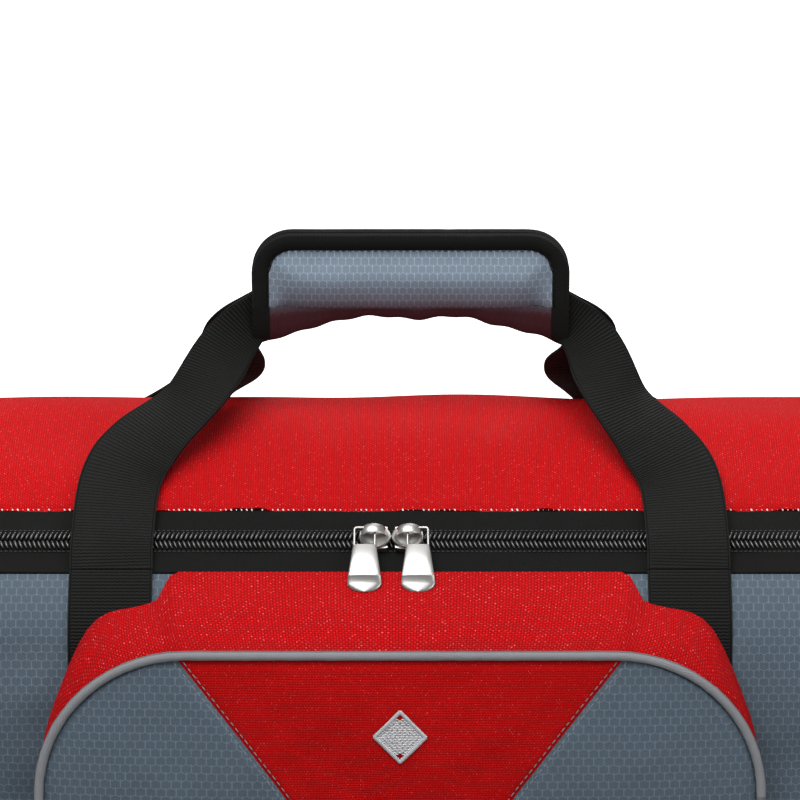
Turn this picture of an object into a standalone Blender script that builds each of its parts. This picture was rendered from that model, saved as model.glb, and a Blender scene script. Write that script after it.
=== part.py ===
"""Sports equipment bag: a barrel-topped duffel with a U-shaped zip lid, a front bellows pocket,
two webbing handles joined by a wrap grip, and shoulder-strap rings on the ends.

Frame: metres, +Z up, the front (pocket) faces -Y, origin on the floor under the middle of the body.
"""
import math

import bmesh
import bpy
from mathutils import Matrix, Vector

# Driving dimensions -------------------------------------------------------------------------------
BAG_LENGTH = 0.600
CREST_HEIGHT = 0.290
CROWN_RADIUS = 0.120
CROWN_ANGLE = math.radians(40)
SHOULDER_RADIUS = 0.040
BOTTOM_RADIUS = 0.025
WALL = 0.003
GAP = 0.0003

TAPE_WIDTH = 0.017
TAPE_THICK = 0.0012
CHAIN_WIDTH = 0.0045
CHAIN_HEIGHT = 0.0020
ZIP_CORNER_RADIUS = 0.050
ZIP_END_MARGIN = 0.047
EDGE_STEPS = 8

PIPING_RADIUS = 0.0022

STRAP_WIDTH = 0.038
STRAP_THICK = 0.0016
STRAP_SPACING = 0.264

GRIP_LENGTH = 0.150
GRIP_BOTTOM = 0.047
GRIP_TOP = 0.0880
GRIP_ARCH = 0.0150
GRIP_CORNER = 0.019
GRIP_SHEET = 0.0035
GRIP_OFFSET = -0.005
GRIP_LEAN = 0.0050
LEAN_HEIGHT = 0.030
GRIP_HEM = 0.001
BINDING = 0.0095
BUNDLE_WIDTH = 0.022
BUNDLE_OVERHANG = 0.004
HOOK_WIDTH = 0.011
HOOK_INSET = 0.002

POCKET_HALF_WIDTH = 0.164
POCKET_FRONT = 0.141
POCKET_TOP_DROP = 0.0770
POCKET_BOTTOM = 0.036
POCKET_TOP_CORNER = 0.067
POCKET_BOTTOM_CORNER = 0.030
POCKET_SHEET = 0.0025
POCKET_BACK_CORNER = (0.055, 0.095)
POCKET_BACK_FOOT = 0.036
POCKET_BACK_INSET = 0.004
POCKET_SEAM_DROP = 0.0006
POCKET_LOWER_BAND = 0.0315
POCKET_ZIP_WIDTH = 0.032
POCKET_ZIP_SUNK = 0.0008
POCKET_COIL_HALF = 0.0035
POCKET_COIL_INSET = 0.006
POCKET_SLIDER_INSET = 0.030
CHEVRON_TOP = 0.101
CHEVRON_SLOPE = 0.72
CHEVRON_FOOT = 0.036
CHEVRON_BEND = 0.012
EMBLEM_HALF = 0.0115
EMBLEM_DROP = 0.0364
EMBLEM_THICK = 0.0008

SLIDER_LENGTH = 0.015
SLIDER_WIDTH = 0.0124
SLIDER_OFFSET = 0.0082
SLIDERS_MEET = -0.0040
SLIDER_TOP = 0.0036
SLIDER_RIM = 0.0006
SLIDER_EDGE = 0.0010
SLIDER_CAMBER = 0.0004
SLIDER_TAPER = 0.14
SLIDER_PLAY = 0.0002
CROWN_FOOT = 0.0034
CROWN_OUTER = (0.0054, 0.0062)
CROWN_INNER = (0.0040, 0.0050)
CROWN_HALF_WIDTH = 0.0010
PULL_TOP = 0.0105
PULL_END = 0.0155
PULL_THICK = 0.0015
PULL_SHANK = 0.0189
PULL_TIP = 0.0045
PULL_FRAME_TOP = 0.0024
PULL_FRAME_LOW = -0.0072
PULL_FRAME_WIRE = 0.0013
PULL_FRAME_BAR = 0.0011
PULL_FRAME_FOOT = 0.0006
PULL_PIVOT_SHIFT = 0.0040
PULL_PIVOT_LIFT = 0.0062

RING_WIDTH = 0.034
RING_DROP = 0.026
RING_WIRE = 0.0020
RING_TAB_HEIGHT = 0.030
RING_TAB_WIDTH = 0.025
RING_BELOW_CREST = 0.050
RING_CORNER = 0.003
RING_TAB_TAIL = 0.006
END_PANEL_DEPTH = 0.003
END_PANEL_INSET = 0.001
BOARD_MARGIN = 0.012
BOARD_THICK = 0.0025

# Derived sizes ------------------------------------------------------------------------------------
CROWN_RUN = CROWN_RADIUS * CROWN_ANGLE
ZIP_RUN = 2 * TAPE_WIDTH
SHOULDER_ANGLE = math.pi / 2 - CROWN_ANGLE
HALF_DEPTH = (CROWN_RADIUS * math.sin(CROWN_ANGLE) + ZIP_RUN * math.cos(CROWN_ANGLE)
              + SHOULDER_RADIUS * (1 - math.sin(CROWN_ANGLE)))
SHOULDER_DROP = (CROWN_RADIUS * (1 - math.cos(CROWN_ANGLE)) + ZIP_RUN * math.sin(CROWN_ANGLE)
                 + SHOULDER_RADIUS * math.cos(CROWN_ANGLE))
WALL_RUN = CREST_HEIGHT - SHOULDER_DROP - BOTTOM_RADIUS
S_TAPE_BACK = CROWN_RUN
S_COIL = CROWN_RUN + TAPE_WIDTH
S_TAPE_FRONT = CROWN_RUN + ZIP_RUN
S_SHOULDER = S_TAPE_FRONT + SHOULDER_RADIUS * SHOULDER_ANGLE
S_WALL = S_SHOULDER + WALL_RUN
S_CORNER = S_WALL + BOTTOM_RADIUS * math.pi / 2
HALF_LENGTH = BAG_LENGTH / 2
ZIP_HALF = HALF_LENGTH - ZIP_END_MARGIN
HALF_WRAP = HALF_LENGTH - 2 * PIPING_RADIUS - 2 * GAP
STRAP_X = STRAP_SPACING / 2
GRIP_HALF = GRIP_LENGTH / 2
GRIP_DEPTH = STRAP_THICK + 5 * GAP + GRIP_SHEET
POCKET_TOP = CREST_HEIGHT - POCKET_TOP_DROP
POCKET_ZIP_TOP = POCKET_BOTTOM + POCKET_LOWER_BAND + POCKET_ZIP_WIDTH
POCKET_ZIP_MID = POCKET_ZIP_TOP - POCKET_ZIP_WIDTH / 2
FLAP_FOOT = CREST_HEIGHT + GRIP_BOTTOM + GRIP_SHEET + GRIP_HEM
SIDES = {"left": -1, "right": 1}

MATERIALS = {
    "red_cloth": ((0.62, 0.012, 0.02), 0.75, 0.0),
    "slate_ripstop": ((0.13, 0.16, 0.19), 0.7, 0.0),
    "black_cloth": ((0.02, 0.02, 0.022), 0.8, 0.0),
    "webbing": ((0.017, 0.017, 0.016), 0.7, 0.0),
    "zip_tape": ((0.012, 0.012, 0.012), 0.85, 0.0),
    "zip_coil": ((0.015, 0.015, 0.015), 0.4, 0.0),
    "grey_piping": ((0.28, 0.30, 0.32), 0.6, 0.0),
    "grip_ripstop": ((0.20, 0.26, 0.32), 0.7, 0.0),
    "binding": ((0.015, 0.015, 0.017), 0.8, 0.0),
    "satin_nickel": ((0.72, 0.71, 0.69), 0.3, 1.0),
    "base_board": ((0.05, 0.05, 0.05), 0.6, 0.0),
    "silver_thread": ((0.6, 0.6, 0.62), 0.45, 0.0),
}


def material(name):
    found = bpy.data.materials.get(name)
    if found:
        return found
    colour, roughness, metallic = MATERIALS[name]
    made = bpy.data.materials.new(name)
    made.use_nodes = True
    shader = made.node_tree.nodes["Principled BSDF"]
    shader.inputs["Base Color"].default_value = (*colour, 1)
    shader.inputs["Roughness"].default_value = roughness
    shader.inputs["Metallic"].default_value = metallic
    return made


def add_object(name, bm, finish, pivot=None):
    """Close the mesh with outward faces and place its origin at the pivot."""
    bmesh.ops.recalc_face_normals(bm, faces=bm.faces[:])
    if pivot is not None:
        bmesh.ops.translate(bm, verts=bm.verts[:], vec=-Vector(pivot))
    mesh = bpy.data.meshes.new(name)
    bm.to_mesh(mesh)
    bm.free()
    mesh.materials.append(material(finish))
    mesh.shade_smooth()
    mesh.set_sharp_from_angle(angle=math.radians(35))
    made = bpy.data.objects.new(name, mesh)
    if pivot is not None:
        made.location = pivot
    bpy.context.scene.collection.objects.link(made)
    return made


def sweep(name, rings, finish, closed=False, pivot=None, twisted=False):
    """Join equal point loops into one closed body, capped at both ends unless the path closes.

    A twisted body is cut into triangles, so that every face is flat.
    """
    bm = bmesh.new()
    loops = [[bm.verts.new(point) for point in ring] for ring in rings]
    count = len(loops[0])
    steps = len(loops) if closed else len(loops) - 1
    for i in range(steps):
        here, there = loops[i], loops[(i + 1) % len(loops)]
        for k in range(count):
            bm.faces.new((here[k], here[(k + 1) % count], there[(k + 1) % count], there[k]))
    if not closed:
        bm.faces.new(loops[0])
        bm.faces.new(loops[-1])
    if twisted:
        bmesh.ops.triangulate(bm, faces=bm.faces[:])
    return add_object(name, bm, finish, pivot)


def tube(name, points, radius, finish, closed=False, sides=8, pivot=None, planar_normal=None):
    """A round bar along points; planar_normal keeps the rings from twisting on flat paths."""
    count = len(points)
    rings = []
    for i, point in enumerate(points):
        before = points[i - 1] if closed or i else point
        after = points[(i + 1) % count] if closed or i < count - 1 else point
        along = (after - before).normalized()
        across = planar_normal.cross(along).normalized()
        up = along.cross(across)
        rings.append([point + radius * (math.cos(a) * across + math.sin(a) * up)
                      for a in (2 * math.pi * k / sides for k in range(sides))])
    return sweep(name, rings, finish, closed, pivot)


def plate(name, outline, y_front, thickness, finish):
    """A flat sheet facing the front: an (x, z) outline given depth towards the back."""
    bm = bmesh.new()
    front = [bm.verts.new((x, -y_front, z)) for x, z in outline]
    back = [bm.verts.new((x, -y_front + thickness, z)) for x, z in outline]
    bm.faces.new(front)
    bm.faces.new(back[::-1])
    for i in range(len(outline)):
        k = (i + 1) % len(outline)
        bm.faces.new((front[i], front[k], back[k], back[i]))
    return add_object(name, bm, finish)


def span(start, end, count):
    return [start + (end - start) * i / (count - 1) for i in range(count)]


# The body's cross section, walked by s from the crest: s > 0 runs down the front ------------------
def section(s):
    """Point and outward normal, as (y, z) pairs, at distance s along the outer section."""
    side = -1 if s >= 0 else 1
    s = abs(s)
    if s <= CROWN_RUN:
        angle = s / CROWN_RADIUS
        centre = (0, CREST_HEIGHT - CROWN_RADIUS)
        radius = CROWN_RADIUS
    elif s <= S_TAPE_FRONT:
        run = s - CROWN_RUN
        y = CROWN_RADIUS * math.sin(CROWN_ANGLE) + run * math.cos(CROWN_ANGLE)
        z = (CREST_HEIGHT - CROWN_RADIUS * (1 - math.cos(CROWN_ANGLE)) - run * math.sin(CROWN_ANGLE))
        return (side * y, z), (side * math.sin(CROWN_ANGLE), math.cos(CROWN_ANGLE))
    elif s <= S_SHOULDER:
        angle = CROWN_ANGLE + (s - S_TAPE_FRONT) / SHOULDER_RADIUS
        centre = (HALF_DEPTH - SHOULDER_RADIUS, CREST_HEIGHT - SHOULDER_DROP)
        radius = SHOULDER_RADIUS
    elif s <= S_WALL:
        return (side * HALF_DEPTH, BOTTOM_RADIUS + S_WALL - s), (side, 0)
    elif s <= S_CORNER:
        angle = math.pi / 2 + (s - S_WALL) / BOTTOM_RADIUS
        centre = (HALF_DEPTH - BOTTOM_RADIUS, BOTTOM_RADIUS)
        radius = BOTTOM_RADIUS
    else:
        return (side * (HALF_DEPTH - BOTTOM_RADIUS - (s - S_CORNER)), 0), (0, -1)
    normal = (math.sin(angle), math.cos(angle))
    y, z = centre[0] + radius * normal[0], centre[1] + radius * normal[1]
    return (side * y, z), (side * normal[0], normal[1])


def on_body(x, s, height=0.0):
    (y, z), (ny, nz) = section(s)
    return Vector((x, y + height * ny, z + height * nz))


def section_stations(start, end):
    """Values of s between start and end, closer together where the section bends."""
    breaks = [CROWN_RUN, S_TAPE_FRONT, S_SHOULDER, S_WALL, S_CORNER]
    marks = sorted([start, end] + [b for s in breaks for b in (s, -s) if start < b < end])
    stations = [marks[0]]
    for low, high in zip(marks, marks[1:]):
        middle = abs(low + high) / 2
        if middle < CROWN_RUN:
            steps = max(1, round((high - low) / 0.012))
        elif middle < S_TAPE_FRONT or S_SHOULDER < middle < S_WALL or middle > S_CORNER:
            steps = max(1, round((high - low) / 0.06))
        else:
            steps = max(1, round((high - low) / 0.008))
        stations += span(low, high, steps + 1)[1:]
    return stations


def wrap_panel(name, stations, edges, finish, top=0.0, bottom=-WALL, pivot=None):
    """A sheet of the body's wrap: edges(s) gives its two x limits."""
    rings = []
    for s in stations:
        low, high = edges(s)
        rings.append([on_body(low, s, top), on_body(high, s, top),
                      on_body(high, s, bottom), on_body(low, s, bottom)])
    return sweep(name, rings, finish, pivot=pivot)


# The U-shaped zip: a path in (x, s) with its outward direction ------------------------------------
def zip_path():
    """Left hinge end, up the left side, across the front, and back down the right side."""
    corner_s = S_COIL - ZIP_CORNER_RADIUS
    half = [(ZIP_HALF, s, 1.0, 0.0) for s in section_stations(-S_TAPE_FRONT, corner_s)[:-1]]
    for i in range(EDGE_STEPS + 1):
        a = math.pi / 2 * i / EDGE_STEPS
        half.append((ZIP_HALF - ZIP_CORNER_RADIUS * (1 - math.cos(a)),
                     corner_s + ZIP_CORNER_RADIUS * math.sin(a), math.cos(a), math.sin(a)))
    left = [(-x, s, -nx, ns) for x, s, nx, ns in half]
    return left + half[::-1]


def zip_band(name, inner, outer, top, bottom, finish, pivot=None):
    rings = []
    for x, s, nx, ns in zip_path():
        a = (x + nx * inner, s + ns * inner)
        b = (x + nx * outer, s + ns * outer)
        rings.append([on_body(*a, top), on_body(*b, top), on_body(*b, bottom), on_body(*a, bottom)])
    return sweep(name, rings, finish, pivot=pivot)


def zip_side_edge(offset):
    """x of the zip's side edge at s, for an edge lying offset outside the coil line."""
    radius = ZIP_CORNER_RADIUS + offset
    corner_s = S_COIL - ZIP_CORNER_RADIUS

    def edge(s):
        if s <= corner_s:
            return ZIP_HALF + offset
        rise = min(s - corner_s, radius)
        return ZIP_HALF - ZIP_CORNER_RADIUS + math.sqrt(max(radius ** 2 - rise ** 2, 0.0))
    return edge


def corner_stations(start, offset):
    """Stations that follow the zip's rounded corner by equal angles."""
    radius = ZIP_CORNER_RADIUS + offset
    corner_s = S_COIL - ZIP_CORNER_RADIUS
    return section_stations(start, corner_s) + [
        corner_s + radius * math.sin(math.pi / 2 * i / EDGE_STEPS) for i in range(1, EDGE_STEPS + 1)]


HINGE = on_body(0, -S_TAPE_FRONT - GAP / 2)
FRONT_PIVOT = on_body(0, S_TAPE_FRONT, 0.001)
BACK_PIVOT = on_body(0, -S_TAPE_FRONT, 0.001)


def build_wrap():
    whole = lambda s: (-HALF_WRAP, HALF_WRAP)
    wrap_panel("front_panel", section_stations(S_TAPE_FRONT + GAP, S_WALL - GAP), whole, "slate_ripstop")
    wrap_panel("back_panel", section_stations(-S_WALL + GAP, -S_TAPE_FRONT - GAP), whole,
               "slate_ripstop")
    stations = section_stations(S_WALL, S_CORNER)
    rings = []
    for s in stations + [-s for s in stations[::-1]]:
        rings.append([on_body(-HALF_WRAP, s), on_body(HALF_WRAP, s),
                      on_body(HALF_WRAP, s, -WALL), on_body(-HALF_WRAP, s, -WALL)])
    sweep("bottom_panel", rings, "black_cloth")
    board_y = HALF_DEPTH - BOTTOM_RADIUS
    board_x = HALF_WRAP - BOARD_MARGIN
    low, high = WALL + GAP, WALL + GAP + BOARD_THICK
    sweep("base_board", [[Vector((x, -board_y, low)), Vector((x, board_y, low)),
                          Vector((x, board_y, high)), Vector((x, -board_y, high))]
                         for x in (-board_x, board_x)], "base_board")
    offset = TAPE_WIDTH + GAP
    edge = zip_side_edge(offset)
    stations = corner_stations(-S_TAPE_FRONT, offset)
    stations = [min(s, S_TAPE_FRONT - GAP) for s in stations]
    for side, sign in SIDES.items():
        edges = lambda s: tuple(sorted((sign * edge(s), sign * HALF_WRAP)))
        wrap_panel("top_end_" + side, stations, edges, "red_cloth")


def build_lid():
    offset = -TAPE_WIDTH - GAP
    edge = zip_side_edge(offset)
    stations = corner_stations(-S_TAPE_FRONT, offset)
    wrap_panel("lid_panel", stations, lambda s: (-edge(s), edge(s)), "red_cloth", pivot=HINGE)
    zip_band("zip_tape_lid", -TAPE_WIDTH, -GAP / 2, 0.0, -TAPE_THICK, "zip_tape", HINGE)
    zip_band("zip_tape_body", GAP / 2, TAPE_WIDTH, 0.0, -TAPE_THICK, "zip_tape")
    top = GAP + CHAIN_HEIGHT
    zip_band("zip_chain_lid", -CHAIN_WIDTH, -GAP / 2, top, GAP, "zip_coil", HINGE)
    zip_band("zip_chain_body", GAP / 2, CHAIN_WIDTH, top, GAP, "zip_coil")


def end_outline(inset):
    stations = section_stations(-S_CORNER, S_CORNER)
    return [on_body(0, s, -inset) for s in stations]


def build_ends():
    for side, sign in SIDES.items():
        shift = Vector((sign * (HALF_LENGTH - PIPING_RADIUS), 0, 0))
        tube("end_piping_" + side, [p + shift for p in end_outline(PIPING_RADIUS + GAP)],
             PIPING_RADIUS, "grey_piping", closed=True, planar_normal=Vector((1, 0, 0)))
        outline = end_outline(2 * PIPING_RADIUS + 2 * GAP)
        rings = [[p + Vector((sign * x, 0, 0)) for p in outline]
                 for x in (HALF_LENGTH - END_PANEL_INSET - END_PANEL_DEPTH, HALF_LENGTH - END_PANEL_INSET)]
        sweep("end_panel_" + side, rings, "slate_ripstop")


# The front pocket ---------------------------------------------------------------------------------
def rounded(half_width, top, bottom, corner_top, corner_bottom):
    """An (x, z) outline with round corners; a corner is its (width, height)."""
    corners = [(1, top, corner_top, 0), (-1, top, corner_top, 1),
               (-1, bottom, corner_bottom, 2), (1, bottom, corner_bottom, 3)]
    points = []
    for sign, z, (cx, cz), quarter in corners:
        up = 1 if quarter < 2 else -1
        for i in range(EDGE_STEPS + 1):
            a = math.pi / 2 * (quarter + i / EDGE_STEPS)
            points.append((sign * (half_width - cx) + cx * math.cos(a), z - up * cz + cz * math.sin(a)))
    return points


def front_outline(inset):
    r_top, r_bottom = POCKET_TOP_CORNER - inset, POCKET_BOTTOM_CORNER - inset
    return rounded(POCKET_HALF_WIDTH - inset, POCKET_TOP - inset, POCKET_BOTTOM + inset,
                   (r_top, r_top), (r_bottom, r_bottom))


def back_outline(inset):
    """The pocket's seam on the body, as (x, s)."""
    s_bottom = S_WALL - (POCKET_BOTTOM - BOTTOM_RADIUS) - POCKET_BACK_INSET
    wide, tall = POCKET_BACK_CORNER
    foot = POCKET_BACK_FOOT - inset
    points = rounded(POCKET_HALF_WIDTH - POCKET_BACK_INSET - inset,
                     -S_TAPE_FRONT - POCKET_SEAM_DROP - inset, -s_bottom + inset,
                     (wide - inset, tall - inset), (foot, foot))
    return [(x, -z) for x, z in points]


def chevron(z):
    """Half width of the coloured middle panel at height z."""
    drop = POCKET_TOP - z
    straight = CHEVRON_TOP - CHEVRON_SLOPE * drop
    bend = math.sqrt((straight - CHEVRON_FOOT) ** 2 + CHEVRON_BEND ** 2)
    return (straight + bend + CHEVRON_FOOT) / 2


def build_pocket():
    lift = STRAP_THICK + 3 * GAP
    y_front = -(POCKET_FRONT - PIPING_RADIUS - GAP)
    rings = []
    sets = [front_outline(0), back_outline(0), back_outline(POCKET_SHEET), front_outline(POCKET_SHEET)]
    for f0, b0, b1, f1 in zip(*sets):
        rings.append([Vector((f0[0], y_front, f0[1])), on_body(*b0, lift),
                      on_body(*b1, lift), Vector((f1[0], y_front, f1[1]))])
    sweep("pocket_gusset", rings, "red_cloth", closed=True)
    tube("pocket_piping", [Vector((x, -POCKET_FRONT, z)) for x, z in front_outline(0)],
         PIPING_RADIUS, "grey_piping", closed=True, planar_normal=Vector((0, 1, 0)))

    outline = front_outline(PIPING_RADIUS + GAP)
    z_top = POCKET_TOP - PIPING_RADIUS - GAP
    z_low = POCKET_ZIP_TOP + GAP
    side_x = POCKET_HALF_WIDTH - PIPING_RADIUS - GAP
    seam_z = span(z_top, z_low, 9)
    centre = [(chevron(z) - GAP, z) for z in seam_z]
    centre += [(-x, z) for x, z in centre[::-1]]
    plate("pocket_face_centre", centre, POCKET_FRONT, POCKET_SHEET, "red_cloth")
    arc = outline[:EDGE_STEPS + 1]
    for side, sign in SIDES.items():
        seam = [(chevron(z) + GAP, z) for z in seam_z]
        shape = seam + [(side_x, z_low)] + arc
        plate("pocket_face_" + side, [(sign * x, z) for x, z in shape], POCKET_FRONT, POCKET_SHEET,
              "slate_ripstop")
    z_high = POCKET_ZIP_TOP - POCKET_ZIP_WIDTH - GAP
    low = [p for p in outline[2 * EDGE_STEPS + 2:] if p[1] < z_high]
    plate("pocket_face_lower", [(-side_x, z_high)] + low + [(side_x, z_high)], POCKET_FRONT, POCKET_SHEET,
          "slate_ripstop")
    sunk = POCKET_FRONT - POCKET_ZIP_SUNK
    z_foot = POCKET_ZIP_TOP - POCKET_ZIP_WIDTH
    tape = [(-side_x, POCKET_ZIP_TOP), (side_x, POCKET_ZIP_TOP), (side_x, z_foot), (-side_x, z_foot)]
    plate("pocket_zip_tape", tape, sunk, TAPE_THICK, "zip_tape")
    chain_x = side_x - POCKET_COIL_INSET
    z0, z1 = POCKET_ZIP_MID - POCKET_COIL_HALF, POCKET_ZIP_MID + POCKET_COIL_HALF
    plate("pocket_zip_chain", [(-chain_x, z1), (chain_x, z1), (chain_x, z0), (-chain_x, z0)],
          sunk + CHAIN_HEIGHT + GAP, CHAIN_HEIGHT, "zip_coil")
    motif = EMBLEM_HALF
    z_mid = POCKET_TOP - EMBLEM_DROP
    plate("emblem", [(motif, z_mid), (0, z_mid + motif), (-motif, z_mid), (0, z_mid - motif)],
          POCKET_FRONT + GAP + EMBLEM_THICK, EMBLEM_THICK, "silver_thread")


# Sliders and pulls: built in a local frame, x along the zip, v up the slope, w outward ------------
def zip_frame(x):
    ny, nz = section(S_COIL)[1]
    normal = Vector((0, ny, nz))
    up_slope = Vector((1, 0, 0)).cross(normal) * -1
    matrix = Matrix((Vector((1, 0, 0)), up_slope, normal)).transposed().to_4x4()
    matrix.translation = on_body(x, S_COIL)
    return matrix


def face_frame(x, z):
    matrix = Matrix((Vector((1, 0, 0)), Vector((0, 0, 1)), Vector((0, -1, 0)))).transposed().to_4x4()
    matrix.translation = Vector((x, -(POCKET_FRONT - POCKET_ZIP_SUNK), z))
    return matrix



def loft(rings):
    """One closed body through equal point loops, capped at both ends."""
    bm = bmesh.new()
    loops = [[bm.verts.new(p) for p in ring] for ring in rings]
    count = len(loops[0])
    for here, there in zip(loops, loops[1:]):
        for k in range(count):
            bm.faces.new((here[k], here[(k + 1) % count], there[(k + 1) % count], there[k]))
    bm.faces.new(loops[0])
    bm.faces.new(loops[-1])
    bmesh.ops.recalc_face_normals(bm, faces=bm.faces[:])
    return bm


def slider_mesh():
    """A channel over the two coil halves."""
    roof = CHAIN_HEIGHT + 2 * GAP + SLIDER_PLAY
    foot = 2 * GAP
    slot = CHAIN_WIDTH + GAP
    rings = []
    for t in span(-1, 1, 9):
        half = SLIDER_WIDTH / 2 * (1 - SLIDER_TAPER + SLIDER_TAPER * math.cos(t * math.pi / 2))
        x = t * SLIDER_LENGTH / 2
        rim = SLIDER_TOP - SLIDER_RIM
        top = SLIDER_TOP + SLIDER_CAMBER * (1 - t * t)
        inner = half - SLIDER_EDGE
        rings.append([(x, -half, foot), (x, -half, rim), (x, -inner, top), (x, inner, top), (x, half, rim),
                      (x, half, foot), (x, slot, foot), (x, slot, roof), (x, -slot, roof), (x, -slot, foot)])
    return loft(rings)


def crown_mesh():
    """The hoop that holds the pull: legs at both ends, a flat bar between them."""
    half = Vector((0, CROWN_HALF_WIDTH, 0))
    rings = []
    for a in span(0, math.pi, 13):
        outer, inner = [Vector((-reach * math.cos(a), 0, CROWN_FOOT + rise * math.sin(a)))
                        for reach, rise in (CROWN_OUTER, CROWN_INNER)]
        rings.append([outer - half, outer + half, inner + half, inner - half])
    return loft(rings)


def add_slider(name, matrix):
    made = add_object(name, slider_mesh(), "satin_nickel")
    made.matrix_world = matrix
    hoop = add_object(name + "_crown_tool", crown_mesh(), "satin_nickel")
    hoop.matrix_world = matrix
    hoop.hide_render = True
    hoop.display_type = "WIRE"
    joined = made.modifiers.new("crown", "BOOLEAN")
    joined.operation = "UNION"
    joined.object = hoop


def add_pull(name, matrix, sign):
    """A flared tab whose open frame hooks round the crown's outer leg; its origin is the pivot."""
    bm = bmesh.new()
    half = PULL_TOP / 2
    outline = [(-half, PULL_FRAME_TOP), (half, PULL_FRAME_TOP), (half, PULL_FRAME_LOW)]
    end = PULL_FRAME_LOW - PULL_SHANK
    outline += [(PULL_END / 2 * math.cos(a), end - PULL_TIP * math.sin(a)) for a in span(0, math.pi, 9)]
    outline += [(-half, PULL_FRAME_LOW)]
    reach = half - PULL_FRAME_WIRE
    high, low = PULL_FRAME_TOP - PULL_FRAME_BAR, PULL_FRAME_LOW + PULL_FRAME_FOOT
    hole = [(-reach, high), (reach, high), (reach, low), (-reach, low)]
    top = [bm.verts.new((x, v, PULL_THICK / 2)) for x, v in outline]
    bottom = [bm.verts.new((x, v, -PULL_THICK / 2)) for x, v in outline]
    hole_top = [bm.verts.new((x, v, PULL_THICK / 2)) for x, v in hole]
    hole_bottom = [bm.verts.new((x, v, -PULL_THICK / 2)) for x, v in hole]
    count = len(outline)
    for k in range(count):
        n = (k + 1) % count
        bm.faces.new((top[k], top[n], bottom[n], bottom[k]))
    for k in range(4):
        n = (k + 1) % 4
        bm.faces.new((hole_top[k], hole_bottom[k], hole_bottom[n], hole_top[n]))
    for loop, ring in ((top, hole_top), (bottom, hole_bottom)):
        right, left = loop[2], loop[-1]
        bm.faces.new((loop[0], loop[1], ring[1], ring[0]))
        bm.faces.new((loop[1], right, ring[2], ring[1]))
        bm.faces.new((right, left, ring[3], ring[2]))
        bm.faces.new((left, loop[0], ring[0], ring[3]))
        bm.faces.new(loop[2:])
    made = add_object(name, bm, "satin_nickel")
    made.matrix_world = matrix @ Matrix.Translation((sign * PULL_PIVOT_SHIFT, 0, PULL_PIVOT_LIFT))


def build_sliders():
    for side, sign in SIDES.items():
        matrix = zip_frame(SLIDERS_MEET + sign * SLIDER_OFFSET)
        add_slider("slider_" + side, matrix)
        add_pull("pull_" + side, matrix, sign)
    matrix = face_frame(-POCKET_HALF_WIDTH + POCKET_SLIDER_INSET, POCKET_ZIP_MID)
    add_slider("pocket_slider", matrix)
    add_pull("pocket_pull", matrix, -1)


# Handles ------------------------------------------------------------------------------------------
def ribbon(name, keys, pivot):
    """A flat strap through keys of (centre, width direction, width), eased between them."""
    rings = []
    count = len(keys)
    stations = [i / 4 for i in range(4 * (count - 1) + 1)]

    def eased(index, t):
        low = min(int(t), count - 2)
        f = t - low
        p0, p1, p2, p3 = (keys[max(0, min(count - 1, low + d))][index] for d in (-1, 0, 1, 2))
        return 0.5 * (2 * p1 + (p2 - p0) * f + (2 * p0 - 5 * p1 + 4 * p2 - p3) * f * f
                      + (3 * p1 - p0 - 3 * p2 + p3) * f ** 3)

    for t in stations:
        centre = eased(0, t)
        step = 0.02
        along = (eased(0, min(t + step, count - 1)) - eased(0, max(t - step, 0))).normalized()
        across = eased(1, t)
        across = (across - across.dot(along) * along).normalized() * eased(2, t) / 2
        out = along.cross(across).normalized() * STRAP_THICK / 2
        rings.append([centre - across - out, centre + across - out,
                      centre + across + out, centre - across + out])
    return sweep(name, rings, "webbing", pivot=pivot, twisted=True)


def surface_heading(s, across, along):
    """A direction lying on the body at s: across in x, along in the sense of growing s."""
    step = (on_body(0, s + 0.001, 0) - on_body(0, s - 0.001, 0)).normalized()
    return Vector((across, 0, 0)) + step * along


# The free part of a left leg: centre, width direction and share of the strap's width. A centre is
# (x from the strap line, s, lift off the body) or (x from the strap line, y, height over the crest).
FRONT_LEG = [("body", (0.0025, 0.0698, 0.0), (1, 0, 0), 1.0),
             ("free", (0.0125, -0.054, -0.002), (1, -0.15, 0.05), 1.0),
             ("free", (0.0350, -0.035, 0.018), (0.66, -0.72, -0.12), 0.9)]
BACK_LEG = [("body", (0.0100, -0.0898, 0.0), (0.90, -0.44), 1.0),
            ("body", (0.0320, -0.0538, 0.001), (0.86, -0.51), 1.0),
            ("free", (0.0460, 0.030, 0.012), (0.75, 0.55, -0.35), 0.9)]
ENTRY_TURN = (0.40, 0.11, -0.90)
ENTRY_STEP = (0.007, 0.0038, 0.005)
ENTRY_SHARE = 1.1
END_SPREAD = 0.0017
FOOT_LIFT = 0.0005


def leg_key(kind, place, turn, share):
    x, second, third = place
    if kind == "free":
        return Vector((x - STRAP_X, second, CREST_HEIGHT + third)), Vector(turn), share * STRAP_WIDTH
    lift = CHAIN_HEIGHT + GAP + STRAP_THICK + third
    across = Vector(turn) if len(turn) == 3 else surface_heading(second, *turn)
    return on_body(x - STRAP_X, second, lift), across, share * STRAP_WIDTH


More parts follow.
